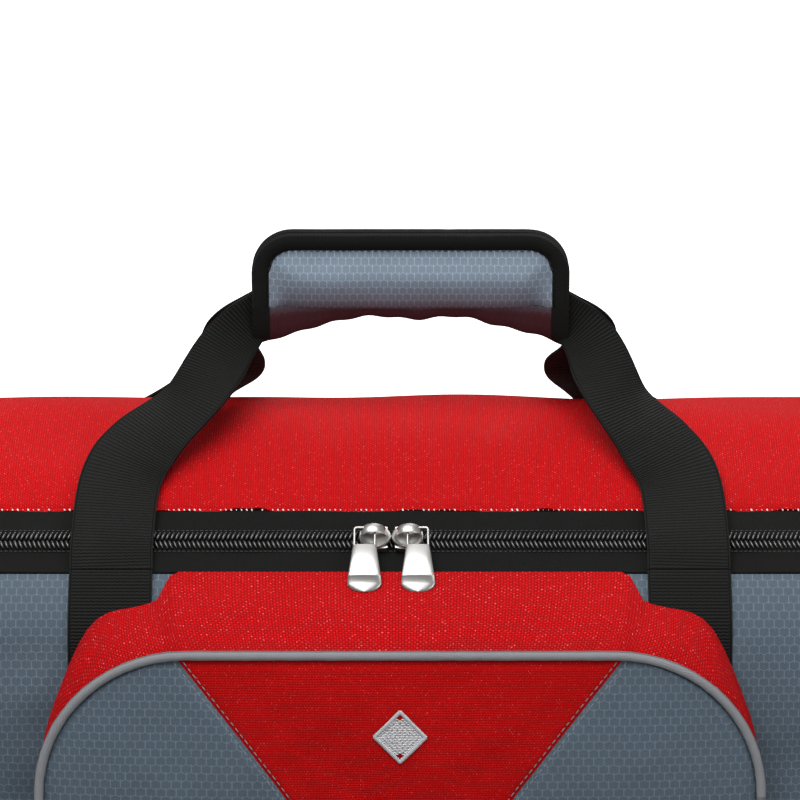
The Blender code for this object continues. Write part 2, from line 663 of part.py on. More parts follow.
def leg_keys(front):
    """Keys of the left leg, from its foot at the seam up to the grip's middle."""
    side = 1 if front else -1
    lift = CHAIN_HEIGHT + GAP + STRAP_THICK
    x_axis, down = Vector((1, 0, 0)), Vector((0, 0, -1))
    grip_y = GRIP_OFFSET - side * (STRAP_THICK + GAP) / 2
    rise = GRIP_SHEET + GRIP_HEM + BUNDLE_WIDTH / 2
    inside = [Vector((x, grip_y, grip_bottom(x) + rise))
              for x in (-GRIP_HALF + 3 * BUNDLE_OVERHANG, -GRIP_HALF / 2, 0)]
    end = Vector((-GRIP_HALF - BUNDLE_OVERHANG, grip_y - side * END_SPREAD, grip_bottom(GRIP_HALF) + rise))
    step_x, step_y, step_z = ENTRY_STEP
    entry = Vector((end.x - step_x, end.y - side * step_y, end.z - step_z))
    turn = Vector((ENTRY_TURN[0], -side * ENTRY_TURN[1], ENTRY_TURN[2]))
    return [(on_body(-STRAP_X, side * (S_TAPE_FRONT - GAP), lift), x_axis, STRAP_WIDTH),
            (on_body(-STRAP_X, side * S_COIL, lift + FOOT_LIFT), x_axis, STRAP_WIDTH),
            *(leg_key(*key) for key in (FRONT_LEG if front else BACK_LEG)),
            (entry, turn, BUNDLE_WIDTH * ENTRY_SHARE),
            (end, down, BUNDLE_WIDTH), *((point, down, BUNDLE_WIDTH) for point in inside)]


def leaning(point):
    """The handles lean a little to the right, more the higher they stand over the crest."""
    share = min(1.0, max(0.0, (point.z - CREST_HEIGHT) / LEAN_HEIGHT))
    return point + Vector((GRIP_LEAN * share, 0, 0))


def build_handles():
    for name, front, pivot in (("front_webbing", True, FRONT_PIVOT), ("back_webbing", False, BACK_PIVOT)):
        left = leg_keys(front)
        right = [(Vector((-c.x, c.y, c.z)), Vector((-w.x, w.y, w.z)), width)
                 for c, w, width in left[:-1][::-1]]
        ribbon(name, [(leaning(c), w, width) for c, w, width in left + right], pivot)
    half = STRAP_WIDTH / 2
    for side, sign in SIDES.items():
        for face, direction in (("front", 1), ("back", -1)):
            stations = [direction * s for s in section_stations(S_TAPE_FRONT + GAP, S_WALL)]
            edges = lambda s: (sign * STRAP_X - half, sign * STRAP_X + half)
            wrap_panel("strap_run_" + face + "_" + side, stations, edges, "webbing",
                       top=STRAP_THICK + GAP, bottom=GAP)


def grip_bottom(x):
    return CREST_HEIGHT + GRIP_BOTTOM - GRIP_ARCH * (x / GRIP_HALF) ** 2


def grip_outline(inset):
    """The right half of the grip's upper edge in (x, z), from the middle round the corner."""
    radius = GRIP_CORNER - inset
    centre_x = GRIP_HALF - GRIP_CORNER
    top = CREST_HEIGHT + GRIP_TOP - inset
    points = [(x, top) for x in span(0, centre_x, 4)[:-1]]
    for i in range(7):
        a = math.pi / 2 * i / 6
        points.append((centre_x + radius * math.sin(a), top - radius * (1 - math.cos(a))))
    return points



def build_grip():
    y0, y1 = GRIP_OFFSET - GRIP_DEPTH, GRIP_OFFSET + GRIP_DEPTH
    t = GRIP_SHEET
    lip = FLAP_FOOT - GAP
    flap_pivot = Vector((0, y0, FLAP_FOOT))
    right = grip_outline(BINDING + GAP)
    across = [(-x, z) for x, z in right[:0:-1]] + right
    sweep("grip_wrap", [[Vector((x + GRIP_LEAN, y, z)) for y, z in (
        (y0, lip), (y0, grip_bottom(x)), (y1, grip_bottom(x)), (y1, high), (y1 - t, high),
        (y1 - t, grip_bottom(x) + t), (y0 + t, grip_bottom(x) + t), (y0 + t, lip))]
        for x, high in across], "grip_ripstop", pivot=BACK_PIVOT)
    sweep("grip_flap", [[Vector((x + GRIP_LEAN, y, z)) for y, z in (
        (y0, FLAP_FOOT), (y0 + t, FLAP_FOOT), (y0 + t, high), (y0, high))] for x, high in across],
          "grip_ripstop", pivot=flap_pivot)
    for name, y_low, foot, pivot in (("grip_binding_front", y0, lambda x: FLAP_FOOT, flap_pivot),
                                     ("grip_binding_back", y1 - t, grip_bottom, BACK_PIVOT)):
        outer, inner = grip_outline(0), grip_outline(BINDING)
        outer.append((outer[-1][0], foot(outer[-1][0])))
        inner.append((inner[-1][0], foot(inner[-1][0])))
        pairs = list(zip(outer, inner))
        left = [((-a[0], a[1]), (-b[0], b[1])) for a, b in pairs[:0:-1]]
        sweep(name, [[Vector((x + GRIP_LEAN, y, z)) for (x, z), y in (
            (a, y_low), (a, y_low + t), (b, y_low + t), (b, y_low))] for a, b in left + pairs],
              "binding", pivot=pivot)
    top = CREST_HEIGHT + GRIP_TOP - HOOK_INSET
    low = top - HOOK_WIDTH
    half = GRIP_HALF - GRIP_CORNER
    for name, a, b, pivot in (
            ("hook_strip", y0 + t + GAP / 2, GRIP_OFFSET - GAP / 2, flap_pivot),
            ("loop_strip", GRIP_OFFSET + GAP / 2, y1 - t - GAP / 2, BACK_PIVOT)):
        sweep(name, [[Vector((x + GRIP_LEAN, y, z)) for y, z in ((a, low), (b, low), (b, top), (a, top))]
                     for x in (-half, half)], "binding", pivot=pivot)


# Shoulder-strap rings on the ends -----------------------------------------------------------------
def build_rings():
    z = CREST_HEIGHT - RING_BELOW_CREST
    layer = STRAP_THICK
    for side, sign in SIDES.items():
        x_wall = HALF_LENGTH - END_PANEL_INSET + GAP
        radius = RING_WIRE + 2 * GAP
        x_bar = x_wall + layer + radius
        profile = [(x_wall, z - RING_TAB_HEIGHT), (x_wall, z)]
        arc = [math.pi * (1 - i / 8) for i in range(9)]
        profile += [(x_bar + (radius + layer) * math.cos(a), z + (radius + layer) * math.sin(a))
                    for a in arc[1:]]
        tail = z - RING_TAB_TAIL
        profile += [(x_bar + radius + layer, tail), (x_bar - radius + GAP, tail - 0.005),
                    (x_bar - radius + GAP, tail - 0.003), (x_bar + radius, tail + 0.001)]
        profile += [(x_bar + radius * math.cos(a), z + radius * math.sin(a)) for a in arc[::-1]]
        profile += [(x_wall + layer, z - RING_TAB_HEIGHT)]
        rings = [[Vector((sign * x, y, h)) for x, h in profile]
                 for y in (-RING_TAB_WIDTH / 2, RING_TAB_WIDTH / 2)]
        sweep("ring_tab_" + side, rings, "webbing")
        half = RING_WIDTH / 2
        pivot = Vector((sign * x_bar, 0, z))
        straight = half - RING_CORNER
        path = [pivot + Vector((0, y, 0)) for y in span(-straight, straight, 4)]
        sag = RING_DROP - RING_CORNER
        path += [pivot + Vector((0, half * math.cos(a), -RING_CORNER - sag * math.sin(a)))
                 for a in span(0, math.pi, 11)]
        tube("ring_" + side, path, RING_WIRE, "satin_nickel", closed=True, pivot=pivot,
             planar_normal=Vector((1, 0, 0)))


for old in list(bpy.data.objects):
    bpy.data.objects.remove(old, do_unlink=True)
build_wrap()
build_lid()
build_ends()
build_pocket()
build_sliders()
build_handles()
build_grip()
build_rings()
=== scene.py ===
import math

import bmesh
import bpy
import numpy as np
from mathutils import Matrix, Vector


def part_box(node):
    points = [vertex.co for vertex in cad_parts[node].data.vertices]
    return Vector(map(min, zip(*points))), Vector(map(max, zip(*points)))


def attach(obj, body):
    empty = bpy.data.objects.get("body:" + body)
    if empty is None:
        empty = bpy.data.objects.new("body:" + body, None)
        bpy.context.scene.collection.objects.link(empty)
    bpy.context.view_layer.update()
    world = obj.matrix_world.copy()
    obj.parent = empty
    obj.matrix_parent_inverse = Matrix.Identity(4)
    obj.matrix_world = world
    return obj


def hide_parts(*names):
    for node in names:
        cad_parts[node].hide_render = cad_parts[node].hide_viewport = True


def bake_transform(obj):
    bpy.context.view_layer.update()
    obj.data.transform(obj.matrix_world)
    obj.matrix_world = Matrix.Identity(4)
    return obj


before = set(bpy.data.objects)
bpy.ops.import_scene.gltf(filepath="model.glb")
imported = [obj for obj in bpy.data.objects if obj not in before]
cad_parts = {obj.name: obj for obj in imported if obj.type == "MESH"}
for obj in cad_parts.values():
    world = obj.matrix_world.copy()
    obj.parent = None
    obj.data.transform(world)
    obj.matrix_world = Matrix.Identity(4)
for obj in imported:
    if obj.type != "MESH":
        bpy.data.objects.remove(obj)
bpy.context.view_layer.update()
gap = 0.0003
sides = {"left": -1, "right": 1}


def boxOf(node):
    low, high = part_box(node)
    return Vector(low), Vector(high)


# ---- body section: s runs from the crest, positive down the front
bagShape = {"crownRadius": 0.120, "crownAngle": math.radians(40), "tapeWidth": 0.017,
            "shoulderRadius": 0.040, "bottomRadius": 0.025, "zipCorner": 0.050}
crest = boxOf("lid_panel")[1].z
halfLength = boxOf("end_panel_right")[1].x + 0.001
halfWrap = boxOf("front_panel")[1].x
zipHalf = boxOf("zip_tape_body")[1].x - bagShape["tapeWidth"]
crownRun = bagShape["crownRadius"] * bagShape["crownAngle"]
coilS = crownRun + bagShape["tapeWidth"]
seamS = crownRun + 2 * bagShape["tapeWidth"]
shoulderTurn = math.pi / 2 - bagShape["crownAngle"]
shoulderS = seamS + bagShape["shoulderRadius"] * shoulderTurn
halfDepth = (bagShape["crownRadius"] * math.sin(bagShape["crownAngle"])
             + 2 * bagShape["tapeWidth"] * math.cos(bagShape["crownAngle"])
             + bagShape["shoulderRadius"] * (1 - math.sin(bagShape["crownAngle"])))
shoulderDrop = (bagShape["crownRadius"] * (1 - math.cos(bagShape["crownAngle"]))
                + 2 * bagShape["tapeWidth"] * math.sin(bagShape["crownAngle"])
                + bagShape["shoulderRadius"] * math.cos(bagShape["crownAngle"]))
wallS = shoulderS + crest - shoulderDrop - bagShape["bottomRadius"]
cornerS = wallS + bagShape["bottomRadius"] * math.pi / 2


def sectionOf(s):
    # outer point (y, z) and outward normal (ny, nz) at distance s from the crest
    s = np.asarray(s, float)
    side = np.where(s >= 0, -1.0, 1.0)
    a = np.abs(s)
    crownR, shoulderR, bottomR = (bagShape[k] for k in ("crownRadius", "shoulderRadius", "bottomRadius"))
    tilt = bagShape["crownAngle"]
    run = a - crownRun
    conditions = [a <= crownRun, a <= seamS, a <= shoulderS, a <= wallS, a <= cornerS]
    upright = math.pi / 2
    angle = np.select(conditions, [a / crownR, np.full_like(a, tilt), tilt + (a - seamS) / shoulderR,
                                   np.full_like(a, upright), upright + (a - wallS) / bottomR], math.pi)
    ny, nz = np.sin(angle), np.cos(angle)
    y = np.select(conditions, [crownR * ny, crownR * math.sin(tilt) + run * math.cos(tilt),
                               halfDepth - shoulderR + shoulderR * ny, np.full_like(a, halfDepth),
                               halfDepth - bottomR + bottomR * ny], halfDepth - bottomR - (a - cornerS))
    z = np.select(conditions, [crest - crownR + crownR * nz,
                               crest - crownR * (1 - math.cos(tilt)) - run * math.sin(tilt),
                               crest - shoulderDrop + shoulderR * nz, bottomR + wallS - a,
                               bottomR + bottomR * nz], 0.0)
    return side * y, z, side * ny, nz


def smooth(t):
    t = np.clip(t, 0, 1)
    return t * t * (3 - 2 * t)


def waves(x, y, seed, pitch, count=7):
    # a smooth random field in -1..1 from a few crossed sine waves
    rng = np.random.RandomState(seed)
    total = 0
    for _ in range(count):
        turn = rng.uniform(0, math.pi)
        size = 2 * math.pi / (pitch * rng.uniform(0.7, 1.6))
        total = total + np.sin(size * (x * math.cos(turn) + y * math.sin(turn)) + rng.uniform(0, 6.28))
    return total / math.sqrt(count) * 0.8


softness = {"wallBulge": 0.0060, "crownBulge": 0.0018, "wallWaves": 0.0018, "crownWaves": 0.0013,
            "zipHold": 0.020, "backShare": 0.35}


def softField(x, s):
    # how far the stuffed cloth stands proud of its plain section
    x, s = np.asarray(x, float), np.asarray(s, float)
    a = np.abs(s)
    ends = smooth((halfWrap - np.abs(x)) / 0.05)
    full = (1 - (x / halfWrap) ** 2) * 0.6 + 0.4
    wall = smooth((a - seamS - 0.006) / 0.05) * smooth((cornerS - a) / 0.10)
    wall = wall * np.where(s < 0, softness["backShare"], 1.0)
    hold = np.where(s > 0, crownRun - s, s + seamS)
    top = smooth(hold / softness["zipHold"] / 2.2) * (a < seamS)
    field = wall * ends * (softness["wallBulge"] * full + softness["wallWaves"] * waves(x, s, 5, 0.075))
    field = field + wall * ends * 0.0006 * waves(x, s * 0.6, 8, 0.021)
    crown = softness["crownBulge"] * full + softness["crownWaves"] * waves(x, s * 1.4, 3, 0.11)
    return field + top * ends * crown


def bagPoint(x, s, lift=0.0):
    x, s = np.broadcast_arrays(np.asarray(x, float), np.asarray(s, float))
    y, z, ny, nz = sectionOf(s)
    rise = softField(x, s) + lift
    return np.stack([x, y + rise * ny, z + rise * nz], -1)


# ---- small makers
def span(start, end, step):
    return np.linspace(start, end, max(2, int(round(abs(end - start) / step)) + 1))


def placed(name, mesh):
    piece = bpy.data.objects.new(name, mesh)
    bpy.context.scene.collection.objects.link(piece)
    return piece


def smoothPiece(name, mesh, sharp):
    mesh.shade_smooth()
    mesh.set_sharp_from_angle(angle=math.radians(sharp))
    return placed(name, mesh)


def runLength(path):
    # distance along a path at each of its points
    steps = np.linalg.norm(np.diff(path, axis=0), axis=1)
    return np.concatenate([[0], np.cumsum(steps)])


def facing(direction, count):
    return np.tile(np.asarray(direction, float), (count, 1))


def meshPiece(name, points, faces, uv=None, faceSlots=None, sharp=40):
    mesh = bpy.data.meshes.new(name)
    mesh.from_pydata([tuple(p) for p in points], [], [tuple(f) for f in faces])
    if uv is not None:
        layer = mesh.uv_layers.new(name="cloth")
        index = np.zeros(len(mesh.loops), int)
        mesh.loops.foreach_get("vertex_index", index)
        layer.data.foreach_set("uv", np.asarray(uv, float)[index].ravel())
    if faceSlots is not None:
        mesh.polygons.foreach_set("material_index", np.asarray(faceSlots, int))
    mesh.validate()
    bm = bmesh.new()
    bm.from_mesh(mesh)
    bmesh.ops.recalc_face_normals(bm, faces=bm.faces[:])
    bm.to_mesh(mesh)
    bm.free()
    return smoothPiece(name, mesh, sharp)


def sheetPiece(name, outer, inner, uv, closed=False):
    # two layers of a grid, rows x columns, joined round their edges; closed joins last row to first
    rows, cols = outer.shape[:2]
    count = rows * cols
    points = np.concatenate([outer.reshape(-1, 3), inner.reshape(-1, 3)])
    allUv = np.concatenate([uv.reshape(-1, 2)] * 2)
    faces, slots = [], []
    at = lambda r, c, layer: (r % rows) * cols + c + layer * count
    for r in range(rows if closed else rows - 1):
        for c in range(cols - 1):
            faces.append((at(r, c, 0), at(r, c + 1, 0), at(r + 1, c + 1, 0), at(r + 1, c, 0)))
            faces.append((at(r, c, 1), at(r + 1, c, 1), at(r + 1, c + 1, 1), at(r, c + 1, 1)))
            slots += [0, 1]
        for c in (0, cols - 1):
            faces.append((at(r, c, 0), at(r + 1, c, 0), at(r + 1, c, 1), at(r, c, 1)))
            slots.append(0)
    if not closed:
        for r in (0, rows - 1):
            for c in range(cols - 1):
                faces.append((at(r, c, 0), at(r, c, 1), at(r, c + 1, 1), at(r, c + 1, 0)))
                slots.append(0)
    return meshPiece(name, points, faces, allUv, slots)


def tubePiece(name, path, radius, planeNormal, ringSides=12):
    # a closed ring of cord along a flat path
    path = np.asarray(path, float)
    count = len(path)
    along = np.roll(path, -1, 0) - np.roll(path, 1, 0)
    along /= np.linalg.norm(along, axis=1)[:, None]
    across = np.cross(planeNormal, along)
    across /= np.linalg.norm(across, axis=1)[:, None]
    up = np.cross(along, across)
    turns = np.linspace(0, 2 * math.pi, ringSides + 1)[:-1]
    radius = np.broadcast_to(np.asarray(radius, float), (count,))
    ring = path[:, None] + radius[:, None, None] * (np.cos(turns)[None, :, None] * across[:, None]
                                                    + np.sin(turns)[None, :, None] * up[:, None])
    lengths = runLength(path)
    uv = [(turn / (2 * math.pi) * 0.014, length) for length in lengths for turn in turns]
    faces = []
    for i in range(count):
        n = (i + 1) % count
        for k in range(ringSides):
            m = (k + 1) % ringSides
            faces.append((i * ringSides + k, i * ringSides + m, n * ringSides + m, n * ringSides + k))
    return meshPiece(name, ring.reshape(-1, 3), faces, uv)


def refinish(node, finish):
    # a better material on a piece that stays as it is
    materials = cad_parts[node].data.materials
    materials.clear()
    materials.append(finish)


def dress(piece, body, finishes, stands=()):
    # materials, the body it moves with, and the nodes it stands for
    for finish in finishes if isinstance(finishes, (list, tuple)) else [finishes]:
        piece.data.materials.append(finish)
    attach(piece, body)
    if stands:
        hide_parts(*stands)
    return piece


# ---- shader helpers
def newGroup(name, inputs, outputs):
    tree = bpy.data.node_groups.new(name, "ShaderNodeTree")
    for label, kind, value in inputs:
        socket = tree.interface.new_socket(label, in_out="INPUT", socket_type=kind)
        if value is not None:
            socket.default_value = value
    for label, kind in outputs:
        tree.interface.new_socket(label, in_out="OUTPUT", socket_type=kind)
    entry = tree.nodes.new("NodeGroupInput")
    leave = tree.nodes.new("NodeGroupOutput")
    return tree, entry.outputs, leave.inputs


def link(tree, source, target):
    if hasattr(source, "is_output"):
        tree.links.new(source, target)
    else:
        target.default_value = source


def calc(tree, operation, *values):
    node = tree.nodes.new("ShaderNodeMath")
    node.operation = operation
    for i, value in enumerate(values):
        link(tree, value, node.inputs[i])
    return node.outputs[0]


def hump(tree, value):
    # rises and falls once over each whole step of value
    return calc(tree, "SINE", calc(tree, "MULTIPLY", calc(tree, "FRACT", value), math.pi))


def middleGap(tree, value):
    # distance of value from the middle of its step
    return calc(tree, "ABSOLUTE", calc(tree, "SUBTRACT", calc(tree, "FRACT", value), 0.5))


def splitUv(tree, vector):
    node = tree.nodes.new("ShaderNodeSeparateXYZ")
    tree.links.new(vector, node.inputs[0])
    return node.outputs[0], node.outputs[1]


def mixColour(tree, factor, a, b):
    node = tree.nodes.new("ShaderNodeMix")
    node.data_type = "RGBA"
    link(tree, factor, node.inputs["Factor"])
    for name, value in (("A", a), ("B", b)):
        socket = [s for s in node.inputs if s.name == name and s.type == "RGBA"][0]
        link(tree, value if hasattr(value, "is_output") else (*value, 1), socket)
    return [s for s in node.outputs if s.type == "RGBA"][0]


def noiseOf(tree, vector, scale, detail=2.0, rough=0.5):
    node = tree.nodes.new("ShaderNodeTexNoise")
    tree.links.new(vector, node.inputs["Vector"])
    node.inputs["Scale"].default_value = scale
    node.inputs["Detail"].default_value = detail
    node.inputs["Roughness"].default_value = rough
    return node.outputs["Fac"]


def rampStep(tree, value, low, high):
    node = tree.nodes.new("ShaderNodeMapRange")
    node.interpolation_type = "SMOOTHSTEP"
    link(tree, value, node.inputs["Value"])
    link(tree, low, node.inputs["From Min"])
    link(tree, high, node.inputs["From Max"])
    return node.outputs["Result"]


def makeWeaveGroup():
    # plain weave: alternate cells show the lengthwise and the crosswise yarn
    tree, given, out = newGroup("plainWeave", [
        ("Cloth", "NodeSocketVector", None), ("Yarn across", "NodeSocketFloat", 0.0011),
        ("Yarn along", "NodeSocketFloat", 0.0007)],
        [("Height", "NodeSocketFloat"), ("Yarn", "NodeSocketFloat")])
    x, y = splitUv(tree, given["Cloth"])
    u = calc(tree, "DIVIDE", x, given["Yarn across"])
    v = calc(tree, "DIVIDE", y, given["Yarn along"])
    bumpU = hump(tree, u)
    bumpV = hump(tree, v)
    cell = calc(tree, "ADD", calc(tree, "FLOOR", u), calc(tree, "FLOOR", v))
    odd = calc(tree, "GREATER_THAN", calc(tree, "FRACT", calc(tree, "MULTIPLY", cell, 0.5)), 0.25)
    over = calc(tree, "MULTIPLY", bumpU, calc(tree, "MULTIPLY_ADD", bumpV, 0.5, 0.5))
    under = calc(tree, "MULTIPLY", bumpV, calc(tree, "MULTIPLY_ADD", bumpU, 0.5, 0.5))
    part = calc(tree, "MULTIPLY", odd, calc(tree, "SUBTRACT", over, under))
    height = calc(tree, "ADD", under, part)
    tree.links.new(height, out["Height"])
    tree.links.new(odd, out["Yarn"])
    return tree


def makeRipstopGroup():
    # staggered cells outlined by thicker yarns
    tree, given, out = newGroup("ripstopLines", [
        ("Cloth", "NodeSocketVector", None), ("Cell across", "NodeSocketFloat", 0.0036),
        ("Cell along", "NodeSocketFloat", 0.0034), ("Line", "NodeSocketFloat", 0.13)],
        [("Line", "NodeSocketFloat")])
    x, y = splitUv(tree, given["Cloth"])
    v = calc(tree, "DIVIDE", y, given["Cell along"])
    row = calc(tree, "FRACT", calc(tree, "MULTIPLY", calc(tree, "FLOOR", v), 0.5))
    u = calc(tree, "ADD", calc(tree, "DIVIDE", x, given["Cell across"]), row)
    # each cell's upper and lower ends come to a shallow point
    skew = calc(tree, "MULTIPLY", middleGap(tree, u), 0.55)
    edgeU = calc(tree, "SUBTRACT", 0.5, middleGap(tree, u))
    edgeV = calc(tree, "SUBTRACT", 0.5, middleGap(tree, calc(tree, "ADD", v, skew)))
    edge = calc(tree, "MINIMUM", edgeU, edgeV)
    line = calc(tree, "SUBTRACT", 1.0, rampStep(tree, edge, 0.0, given["Line"]))
    tree.links.new(line, out["Line"])
    return tree


def makeRibGroup():
    # woven webbing: cross ribs broken by lengthwise yarns, plainer at the edges
    tree, given, out = newGroup("webbingRibs", [
        ("Cloth", "NodeSocketVector", None), ("Rib", "NodeSocketFloat", 0.0015),
        ("Yarn", "NodeSocketFloat", 0.0012), ("Half width", "NodeSocketFloat", 0.019)],
        [("Height", "NodeSocketFloat")])
    x, y = splitUv(tree, given["Cloth"])
    yarn = calc(tree, "DIVIDE", x, given["Yarn"])
    odd = calc(tree, "FRACT", calc(tree, "MULTIPLY", calc(tree, "FLOOR", yarn), 0.5))
    shift = calc(tree, "MULTIPLY", odd, 0.22)
    v = calc(tree, "ADD", calc(tree, "DIVIDE", y, given["Rib"]), shift)
    rib = hump(tree, v)
    cross = hump(tree, yarn)
    body = calc(tree, "MULTIPLY", rib, calc(tree, "MULTIPLY_ADD", cross, 0.25, 0.75))
    edge = calc(tree, "DIVIDE", calc(tree, "ABSOLUTE", x), given["Half width"])
    plain = rampStep(tree, edge, 0.90, 0.95)
    mixed = calc(tree, "ADD", calc(tree, "MULTIPLY", body, calc(tree, "SUBTRACT", 1.0, plain)),
                 calc(tree, "MULTIPLY", plain, calc(tree, "MULTIPLY", cross, 0.7)))
    tree.links.new(mixed, out["Height"])
    return tree


def makeTwillGroup():
    # fine diagonal lines of a twill tape
    tree, given, out = newGroup("twillLines", [
        ("Cloth", "NodeSocketVector", None), ("Pitch", "NodeSocketFloat", 0.0011)],
        [("Height", "NodeSocketFloat")])
    x, y = splitUv(tree, given["Cloth"])
    slope = calc(tree, "DIVIDE", calc(tree, "ADD", x, calc(tree, "MULTIPLY", y, 0.7)), given["Pitch"])
    line = hump(tree, slope)
    step = hump(tree, calc(tree, "DIVIDE", y, 0.0007))
    tree.links.new(calc(tree, "MULTIPLY", line, calc(tree, "MULTIPLY_ADD", step, 0.35, 0.65)), out["Height"])
    return tree


def makeUseGroup():
    # uneven dye, light dust and rubbed patches, from the object's own space
    tree, given, out = newGroup("clothUse", [
        ("Place", "NodeSocketVector", None), ("Strength", "NodeSocketFloat", 0.1)],
        [("Tint", "NodeSocketFloat"), ("Rub", "NodeSocketFloat"), ("Wrinkle", "NodeSocketFloat")])
    broad = noiseOf(tree, given["Place"], 9.0, 3.0)
    fine = noiseOf(tree, given["Place"], 260.0, 2.0)
    blend = calc(tree, "ADD", calc(tree, "MULTIPLY", broad, 0.6), calc(tree, "MULTIPLY", fine, 0.4))
    centred = calc(tree, "SUBTRACT", blend, 0.5)
    tree.links.new(calc(tree, "MULTIPLY_ADD", centred, calc(tree, "MULTIPLY", given["Strength"], 2.0), 1.0),
                   out["Tint"])
    tree.links.new(rampStep(tree, noiseOf(tree, given["Place"], 34.0, 4.0), 0.55, 0.78), out["Rub"])
    tree.links.new(noiseOf(tree, given["Place"], 60.0, 4.0, 0.55), out["Wrinkle"])
    return tree


weaveGroup = makeWeaveGroup()
ripstopGroup = makeRipstopGroup()
ribGroup = makeRibGroup()
twillGroup = makeTwillGroup()
useGroup = makeUseGroup()
print("shader groups built")


def startMaterial(name, roughness, sheen=0.0, metallic=0.0, shine=0.10):
    made = bpy.data.materials.new(name)
    made.use_nodes = True
    tree = made.node_tree
    shader = tree.nodes["Principled BSDF"]
    shader.inputs["Roughness"].default_value = roughness
    shader.inputs["Metallic"].default_value = metallic
    shader.inputs["Sheen Weight"].default_value = sheen
    shader.inputs["Sheen Roughness"].default_value = 0.4
    shader.inputs["Specular IOR Level"].default_value = 0.5 if metallic else shine
    cloth = tree.nodes.new("ShaderNodeUVMap")
    cloth.uv_map = "cloth"
    place = tree.nodes.new("ShaderNodeTexCoord")
    return made, tree, shader, cloth.outputs["UV"], place.outputs["Object"]


def useNode(tree, group, **values):
    node = tree.nodes.new("ShaderNodeGroup")
    node.node_tree = group
    for name, value in values.items():
        link(tree, value, node.inputs[name.replace("_", " ")])
    return node.outputs


def bumpInto(tree, shader, height, distance, strength=1.0, under=None):
    bump = tree.nodes.new("ShaderNodeBump")
    bump.inputs["Strength"].default_value = strength
    bump.inputs["Distance"].default_value = distance
    tree.links.new(height, bump.inputs["Height"])
    if under is not None:
        tree.links.new(under, bump.inputs["Normal"])
    tree.links.new(bump.outputs["Normal"], shader.inputs["Normal"])
    return bump.outputs["Normal"]


def scaled(tree, colour, factor):
    # a colour multiplied by a value
    node = tree.nodes.new("ShaderNodeVectorMath")
    node.operation = "SCALE"
    link(tree, colour, node.inputs[0])
    link(tree, factor, node.inputs["Scale"])
    return node.outputs[0]


def wovenCloth(name, light, dark, yarnAcross, yarnAlong, depth=0.00030, roughness=0.78, glint=None):
    # glint is the colour of painted highlights on the raised yarns
    made, tree, shader, cloth, place = startMaterial(name, roughness)
    use = useNode(tree, useGroup, Place=place, Strength=0.16)
    weave = useNode(tree, weaveGroup, Cloth=cloth, Yarn_across=yarnAcross, Yarn_along=yarnAlong)
    # yarn crests pale and hollows dark: painted shade between the yarns; alternate cells a little paler where
    # one yarn lies on top
    shade = calc(tree, "MULTIPLY_ADD", weave["Yarn"], 0.30, calc(tree, "MULTIPLY", weave["Height"], 0.70))
    colour = mixColour(tree, shade, dark, light)
    if glint:
        # painted highlights: pale specks on the raised lengthwise yarns
        paintedGlint = rampStep(tree, noiseOf(tree, place, 1100.0, 1.0), 0.58, 0.80)
        paintedGlint = calc(tree, "MULTIPLY", paintedGlint, calc(tree, "MULTIPLY", weave["Height"], weave["Yarn"]))
        colour = mixColour(tree, paintedGlint, colour, glint)
    tree.links.new(scaled(tree, colour, use["Tint"]), shader.inputs["Base Color"])
    rough = calc(tree, "MULTIPLY_ADD", use["Rub"], -0.10, roughness)
    tree.links.new(rough, shader.inputs["Roughness"])
    first = bumpInto(tree, shader, use["Wrinkle"], 0.0009, 0.6)
    bumpInto(tree, shader, weave["Height"], depth, 0.9, first)
    return made


def ripstopCloth(name, light, dark, line, across, along, share=0.6, paintedUnderShade=None):
    # share is how strongly the painted sheen of the thicker yarns shows
    made, tree, shader, cloth, place = startMaterial(name, 0.62, 0.03)
    use = useNode(tree, useGroup, Place=place, Strength=0.14)
    weave = useNode(tree, weaveGroup, Cloth=cloth, Yarn_across=0.00055, Yarn_along=0.00045)
    lines = useNode(tree, ripstopGroup, Cloth=cloth, Cell_across=across, Cell_along=along, Line=0.10)
    # yarn crests pale and hollows dark: painted shade between the yarns
    ground = mixColour(tree, weave["Height"], dark, light)
    # the thicker yarns are painted paler: painted sheen along the ripstop lines
    colour = mixColour(tree, calc(tree, "MULTIPLY", lines["Line"], share), ground, line)
    if paintedUnderShade:
        # painted shade, with a painted red reflection from the bag below, darkens the cloth below a height
        low, high, paintedShadeColour = paintedUnderShade
        _, rise = splitUv(tree, cloth)
        colour = mixColour(tree, rampStep(tree, rise, low, high), paintedShadeColour, colour)
    tree.links.new(scaled(tree, colour, use["Tint"]), shader.inputs["Base Color"])
    tree.links.new(calc(tree, "MULTIPLY_ADD", lines["Line"], -0.14, 0.66), shader.inputs["Roughness"])
    first = bumpInto(tree, shader, use["Wrinkle"], 0.0009, 0.6)
    height = calc(tree, "MULTIPLY_ADD", lines["Line"], 1.2, calc(tree, "MULTIPLY", weave["Height"], 0.5))
    bumpInto(tree, shader, height, 0.00016, 0.9, first)
    return made


def webbingCloth(name, light, dark, rib=0.00155, halfWidth=0.019):
    made, tree, shader, cloth, place = startMaterial(name, 0.62, 0.02)
    use = useNode(tree, useGroup, Place=place, Strength=0.22)
    ribs = useNode(tree, ribGroup, Cloth=cloth, Rib=rib, Yarn=0.0013, Half_width=halfWidth)
    # rib crests pale and grooves dark: painted shade between the ribs
    colour = mixColour(tree, ribs["Height"], dark, light)
    tree.links.new(scaled(tree, colour, use["Tint"]), shader.inputs["Base Color"])
    tree.links.new(calc(tree, "MULTIPLY_ADD", use["Rub"], -0.12, 0.64), shader.inputs["Roughness"])
    bumpInto(tree, shader, ribs["Height"], 0.00035, 1.0)
    return made


